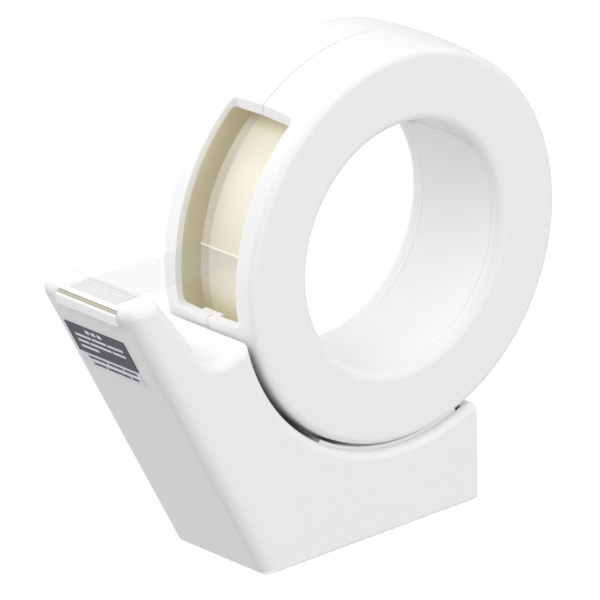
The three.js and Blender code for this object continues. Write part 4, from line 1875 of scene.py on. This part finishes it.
@dataclass
class FrontLabel:
    """A printed label on the front face, with plain bars where the print is.

    Attributes:
        base: the base that it is stuck to.
        name: the piece's name.
        node: the node of the frame that it stands for.
        finish: the label's surface.
        ink: the print's surface.
        top: distance from the top of the front face.
        height: its height along the face.
        rows: the bars, as (distance from the label's top, thickness, ends as shares of the width).
        slot: the record's material slot.
        width: the label's width.
        offset: how far its middle is from the middle plane.
        lift: gap between the front face and the film.
        thickness: the film's thickness.
    """

    base: Base
    name: str
    node: str
    finish: Finish
    ink: Finish
    top: float
    height: float
    rows: tuple[tuple[float, float, tuple[Span, ...]], ...]
    slot: str
    width: float = 22.6 * MM
    offset: float = -3.1 * MM
    lift: float = 0.1 * MM
    thickness: float = 0.12 * MM

    def _strip(self, name: str, down: Span, out: Span, across: Span) -> bpy.types.Object:
        """A thin slab that lies on the front face.

        Args:
            name: the object's name.
            down: where it starts and ends down the face.
            out: where it starts and ends off the face.
            across: where it starts and ends along X.

        Returns:
            The solid.
        """
        lean = math.radians(self.base.front_lean)
        along, away = Vector((math.sin(lean), -math.cos(lean))), Vector((-math.cos(lean), -math.sin(lean)))
        start = Vector((self.base.front_y(self.base.rest_z), self.base.rest_z)) + along * self.top
        outline = [
            tuple(start + along * down[a] + away * out[b]) for a, b in ((0, 0), (1, 0), (1, 1), (0, 1))
        ]
        return Bench.slab(name, outline, *across)

    def build(self) -> None:
        """Builds the label."""
        left = self.offset - self.width / 2
        outer = self.lift + self.thickness
        label = self._strip(self.name, (0.0, self.height), (0.0, outer), (left, left + self.width))
        label.data.materials.append(self.finish.build())
        bars = []
        for down, thick, spans in self.rows:
            for start, end in spans:
                across = (left + self.width * start, left + self.width * end)
                bar = self._strip("bar", (down, down + thick), (outer - 0.05 * MM, outer + 0.02 * MM), across)
                bar.data.materials.append(self.ink.build())
                bars.append(bar)
        Bench.gather(label, *bars)
        Bench.dress(label, self.finish, Body.BASE, self.slot, self.node)


@dataclass
class TapeStrand:
    """The free end of the tape, from the roll to the rest.

    Attributes:
        base: the base that the tape's end lies on.
        roll: the wound tape's outer radius.
        half: half of the tape's width.
        peel: where it leaves the roll, in degrees about the ring's axis.
        thickness: its thickness.
        end_setback: how far its cut end is behind the blade's edge.
    """

    base: Base
    roll: float
    half: float
    peel: float = 172.2
    thickness: float = 0.16 * MM
    end_setback: float = 1.8 * MM

    def build(self) -> None:
        """Builds the strand as a thin ribbon with a bright edge where it leaves the roll, which glows with
        painted light.
        """
        base = self.base
        start = base.polar(self.roll + 0.12 * MM, self.peel)
        rest = base.rest_z + 0.02 * MM
        end = Head(base).edge.x + self.end_setback
        under = [
            tuple(start + Vector((0.05, 0.45)) * MM), tuple(start), (base.back_of_head, rest),
            (end + 0.25 * MM, rest), (end, rest),
        ]
        thick = self.thickness
        over = [
            (y - (thick if i < 2 else 0.0), z + (thick if i > 0 else 0.0)) for i, (y, z) in enumerate(under)
        ]
        ribbon = Bench.slab("tape_strand_film", [*under, *over[::-1]], -self.half, self.half)
        ribbon.data.materials.append(FILM.build())
        Bench.paint(ribbon, FILM_EDGE, lambda centre, _normal: (centre.yz - start).length < 0.4 * MM)
        Bench.dress(ribbon, FILM, Body.BASE, "tape_film", "tape_strand")


# ---- Stage ----


@dataclass(frozen=True)
class Lamp:
    """A square soft light aimed at the dispenser.

    Attributes:
        name: the light's name.
        place: where it stands, from the target.
        size: its side.
        power: its power in watts.
    """

    name: str
    place: tuple[float, float, float]
    size: float
    power: float


LAMPS = (
    Lamp("key", (0.2, -0.75, 1.1), 1.0, 4.3),
    Lamp("side", (1.3, 0.15, 0.4), 0.8, 5.6),
    Lamp("left", (-1.2, -0.6, 0.35), 0.8, 7.5),
)
LAMP_BELOW = Lamp("below", (0.0, 0.0, -0.6), 3.0, 18.0)


@dataclass
class Studio:
    """The camera, the soft lights and the pale floor.

    Attributes:
        target: the point that the camera's aim is reckoned from.
        azimuth: the camera's angle round the dispenser, in degrees from -Y towards +X.
        elevation: its angle above the floor, in degrees.
        roll: how far it leans, in degrees.
        distance: how far it stands from the target.
        lens: its focal length in millimetres.
        aside: how far it is moved to its left.
        above: how far it is moved down.
        sky: strength of the light from all round.
        floor_side: side of the floor.
        floor_colour: the floor's own colour, which is dark, as it glows by itself.
    """

    target: Vector
    azimuth: float = 48.332
    elevation: float = 21.606
    roll: float = -1.073
    distance: float = 2.4351
    lens: float = 570.58
    aside: float = 15.313 * MM
    above: float = 17.881 * MM
    sky: float = 0.74
    floor_side: float = 12.0
    floor_colour: float = 0.03

    def _axes(self) -> tuple[Vector, Vector, Vector]:
        """The camera's right, up and backward directions."""
        turn, lift, roll = (math.radians(value) for value in (self.azimuth, self.elevation, self.roll))
        back = Vector((math.sin(turn) * math.cos(lift), -math.cos(turn) * math.cos(lift), math.sin(lift)))
        level = Vector((math.cos(turn), math.sin(turn), 0.0))
        upright = back.cross(level)
        right = level * math.cos(roll) + upright * math.sin(roll)
        up = upright * math.cos(roll) - level * math.sin(roll)
        return right, up, back

    def place_camera(self) -> None:
        """Puts the camera where it frames the dispenser."""
        right, up, back = self._axes()
        place = self.target + back * self.distance - right * self.aside - up * self.above
        camera = bpy.data.objects.new("camera", bpy.data.cameras.new("camera"))
        camera.data.lens = self.lens
        camera.data.sensor_width = 36.0
        camera.data.clip_end = 20.0
        rotation = Matrix((right, up, back)).transposed().to_4x4()
        camera.matrix_world = Matrix.Translation(place) @ rotation
        bpy.context.scene.collection.objects.link(camera)
        bpy.context.scene.camera = camera

    def _light(self, lamp: Lamp) -> bpy.types.Object:
        """Sets up one lamp.

        Args:
            lamp: its place, size and power.

        Returns:
            The lamp's object.
        """
        data = bpy.data.lights.new(lamp.name, "AREA")
        data.shape = "SQUARE"
        data.size = lamp.size
        data.energy = lamp.power
        place = self.target + Vector(lamp.place)
        made = bpy.data.objects.new(lamp.name, data)
        made.location = place
        made.rotation_euler = (self.target - place).to_track_quat("-Z", "Y").to_euler()
        bpy.context.scene.collection.objects.link(made)
        return made

    def light(self) -> bpy.types.Object:
        """Makes the sky and the lamps.

        Returns:
            The lamp below the floor, which stands for the light that a pale floor throws back.
        """
        world = bpy.data.worlds.new("studio")
        world.use_nodes = True
        background = world.node_tree.nodes["Background"]
        background.inputs["Color"].default_value = (1.0, 1.0, 1.0, 1.0)
        background.inputs["Strength"].default_value = self.sky
        bpy.context.scene.world = world
        for lamp in LAMPS:
            self._light(lamp)
        bpy.context.scene.view_settings.view_transform = "Standard"
        return self._light(LAMP_BELOW)

    def lay_floor(self, below: bpy.types.Object) -> None:
        """Makes the pale floor.

        Args:
            below: the lamp below it, whose light it lets through.
        """
        Bench.clear()
        bpy.ops.mesh.primitive_plane_add(size=self.floor_side, location=(0.0, 0.0, 0.0))
        floor = bpy.context.object
        floor.name = "floor"
        material = bpy.data.materials.new("floor_pale")
        material.use_nodes = True
        shader = material.node_tree.nodes["Principled BSDF"]
        shader.inputs["Base Color"].default_value = (*(self.floor_colour,) * 3, 1.0)
        shader.inputs["Roughness"].default_value = 1.0
        shader.inputs["Specular IOR Level"].default_value = 0.0
        shader.inputs["Emission Color"].default_value = (1.0, 1.0, 1.0, 1.0)
        shader.inputs["Emission Strength"].default_value = 1.0
        floor.data.materials.append(material)
        only_itself = bpy.data.collections.new("lit_by_floor")
        only_itself.objects.link(floor)
        floor.light_linking.receiver_collection = only_itself
        lets_through = bpy.data.collections.new("passed_by_lamp_below")
        lets_through.objects.link(floor)
        lets_through.collection_objects[0].light_linking.link_state = "EXCLUDE"
        below.light_linking.blocker_collection = lets_through
        floor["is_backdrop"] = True


@dataclass
class Underside:
    """The base plate, the suction cup and the screws, as softened copies of the frame's solids.

    Attributes:
        nodes: the frame's nodes by name.
    """

    nodes: dict[str, bpy.types.Object]

    def build(self) -> None:
        """Builds the softened copies."""
        self._copy("base_plate", "base_plate_body", INNER, "inner_plastic", 0.3 * MM)
        self._copy("suction_cup", "suction_cup_body", RUBBER, "cup_rubber", 0.15 * MM)
        for name in ("suction_stud", "suction_nut"):
            self._copy(name, f"{name}_body", STEEL, "screw_steel", 0.1 * MM)
        for name in self.nodes:
            if "_screw_" in name:
                self._copy(name, f"{name}_body", STEEL, "screw_steel", 0.08 * MM)

    def _copy(self, name: str, new_name: str, finish: Finish, slot: str, width: float) -> None:
        """Makes one softened copy.

        Args:
            name: the node's name.
            new_name: the copy's name.
            finish: its surface.
            slot: the record's material slot.
            width: how far the softening reaches.
        """
        piece = Bench.refined(self.nodes[name], new_name, width)
        Bench.dress(piece, finish, Body.BASE, slot, name)


def corners(low: Vector, high: Vector) -> list[list[float]]:
    """Two corners of a box as plain lists of numbers.

    Args:
        low: the lowest corner.
        high: the highest corner.

    Returns:
        The two lists.
    """
    return [list(low), list(high)]


def main() -> None:
    """Builds the dispenser's looks round the frame."""
    logging.basicConfig(level=logging.INFO, format="%(name)s: %(message)s")
    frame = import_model()
    cad_box = corners(*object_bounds())
    Bench.clear()
    cover_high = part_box("ring_cover")[1]
    roll_low, roll_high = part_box("tape_roll")
    base_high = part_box("base_shell")[1]
    middle = (roll_low + roll_high) / 2
    studio = Studio(middle)
    studio.place_camera()
    studio.lay_floor(studio.light())
    Underside(frame["nodes"]).build()
    ring, roll = cover_high.z - middle.z, roll_high.z - middle.z
    RingHousing(middle, ring, cover_high.x, roll).build()
    TapeRoll(middle, roll, roll_high.x).build()
    base = Base(middle, ring, base_high.x)
    base.build()
    Head(base).build()
    TapeStrand(base, roll, roll_high.x).build()
    FrontLabel(
        base, "label_upper_film", "label_upper", finish=DARK_LABEL, ink=PALE_LABEL,
        top=12.7 * MM, height=10.6 * MM, rows=UPPER_ROWS, slot="dark_label",
    ).build()
    FrontLabel(
        base, "label_lower_film", "label_lower", finish=PALE_LABEL, ink=DARK_LABEL,
        top=23.6 * MM, height=5.2 * MM, rows=LOWER_ROWS, slot="white_label",
    ).build()
    {"cad": cad_box, "visual": corners(*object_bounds())}


if __name__ == "__main__":
    main()
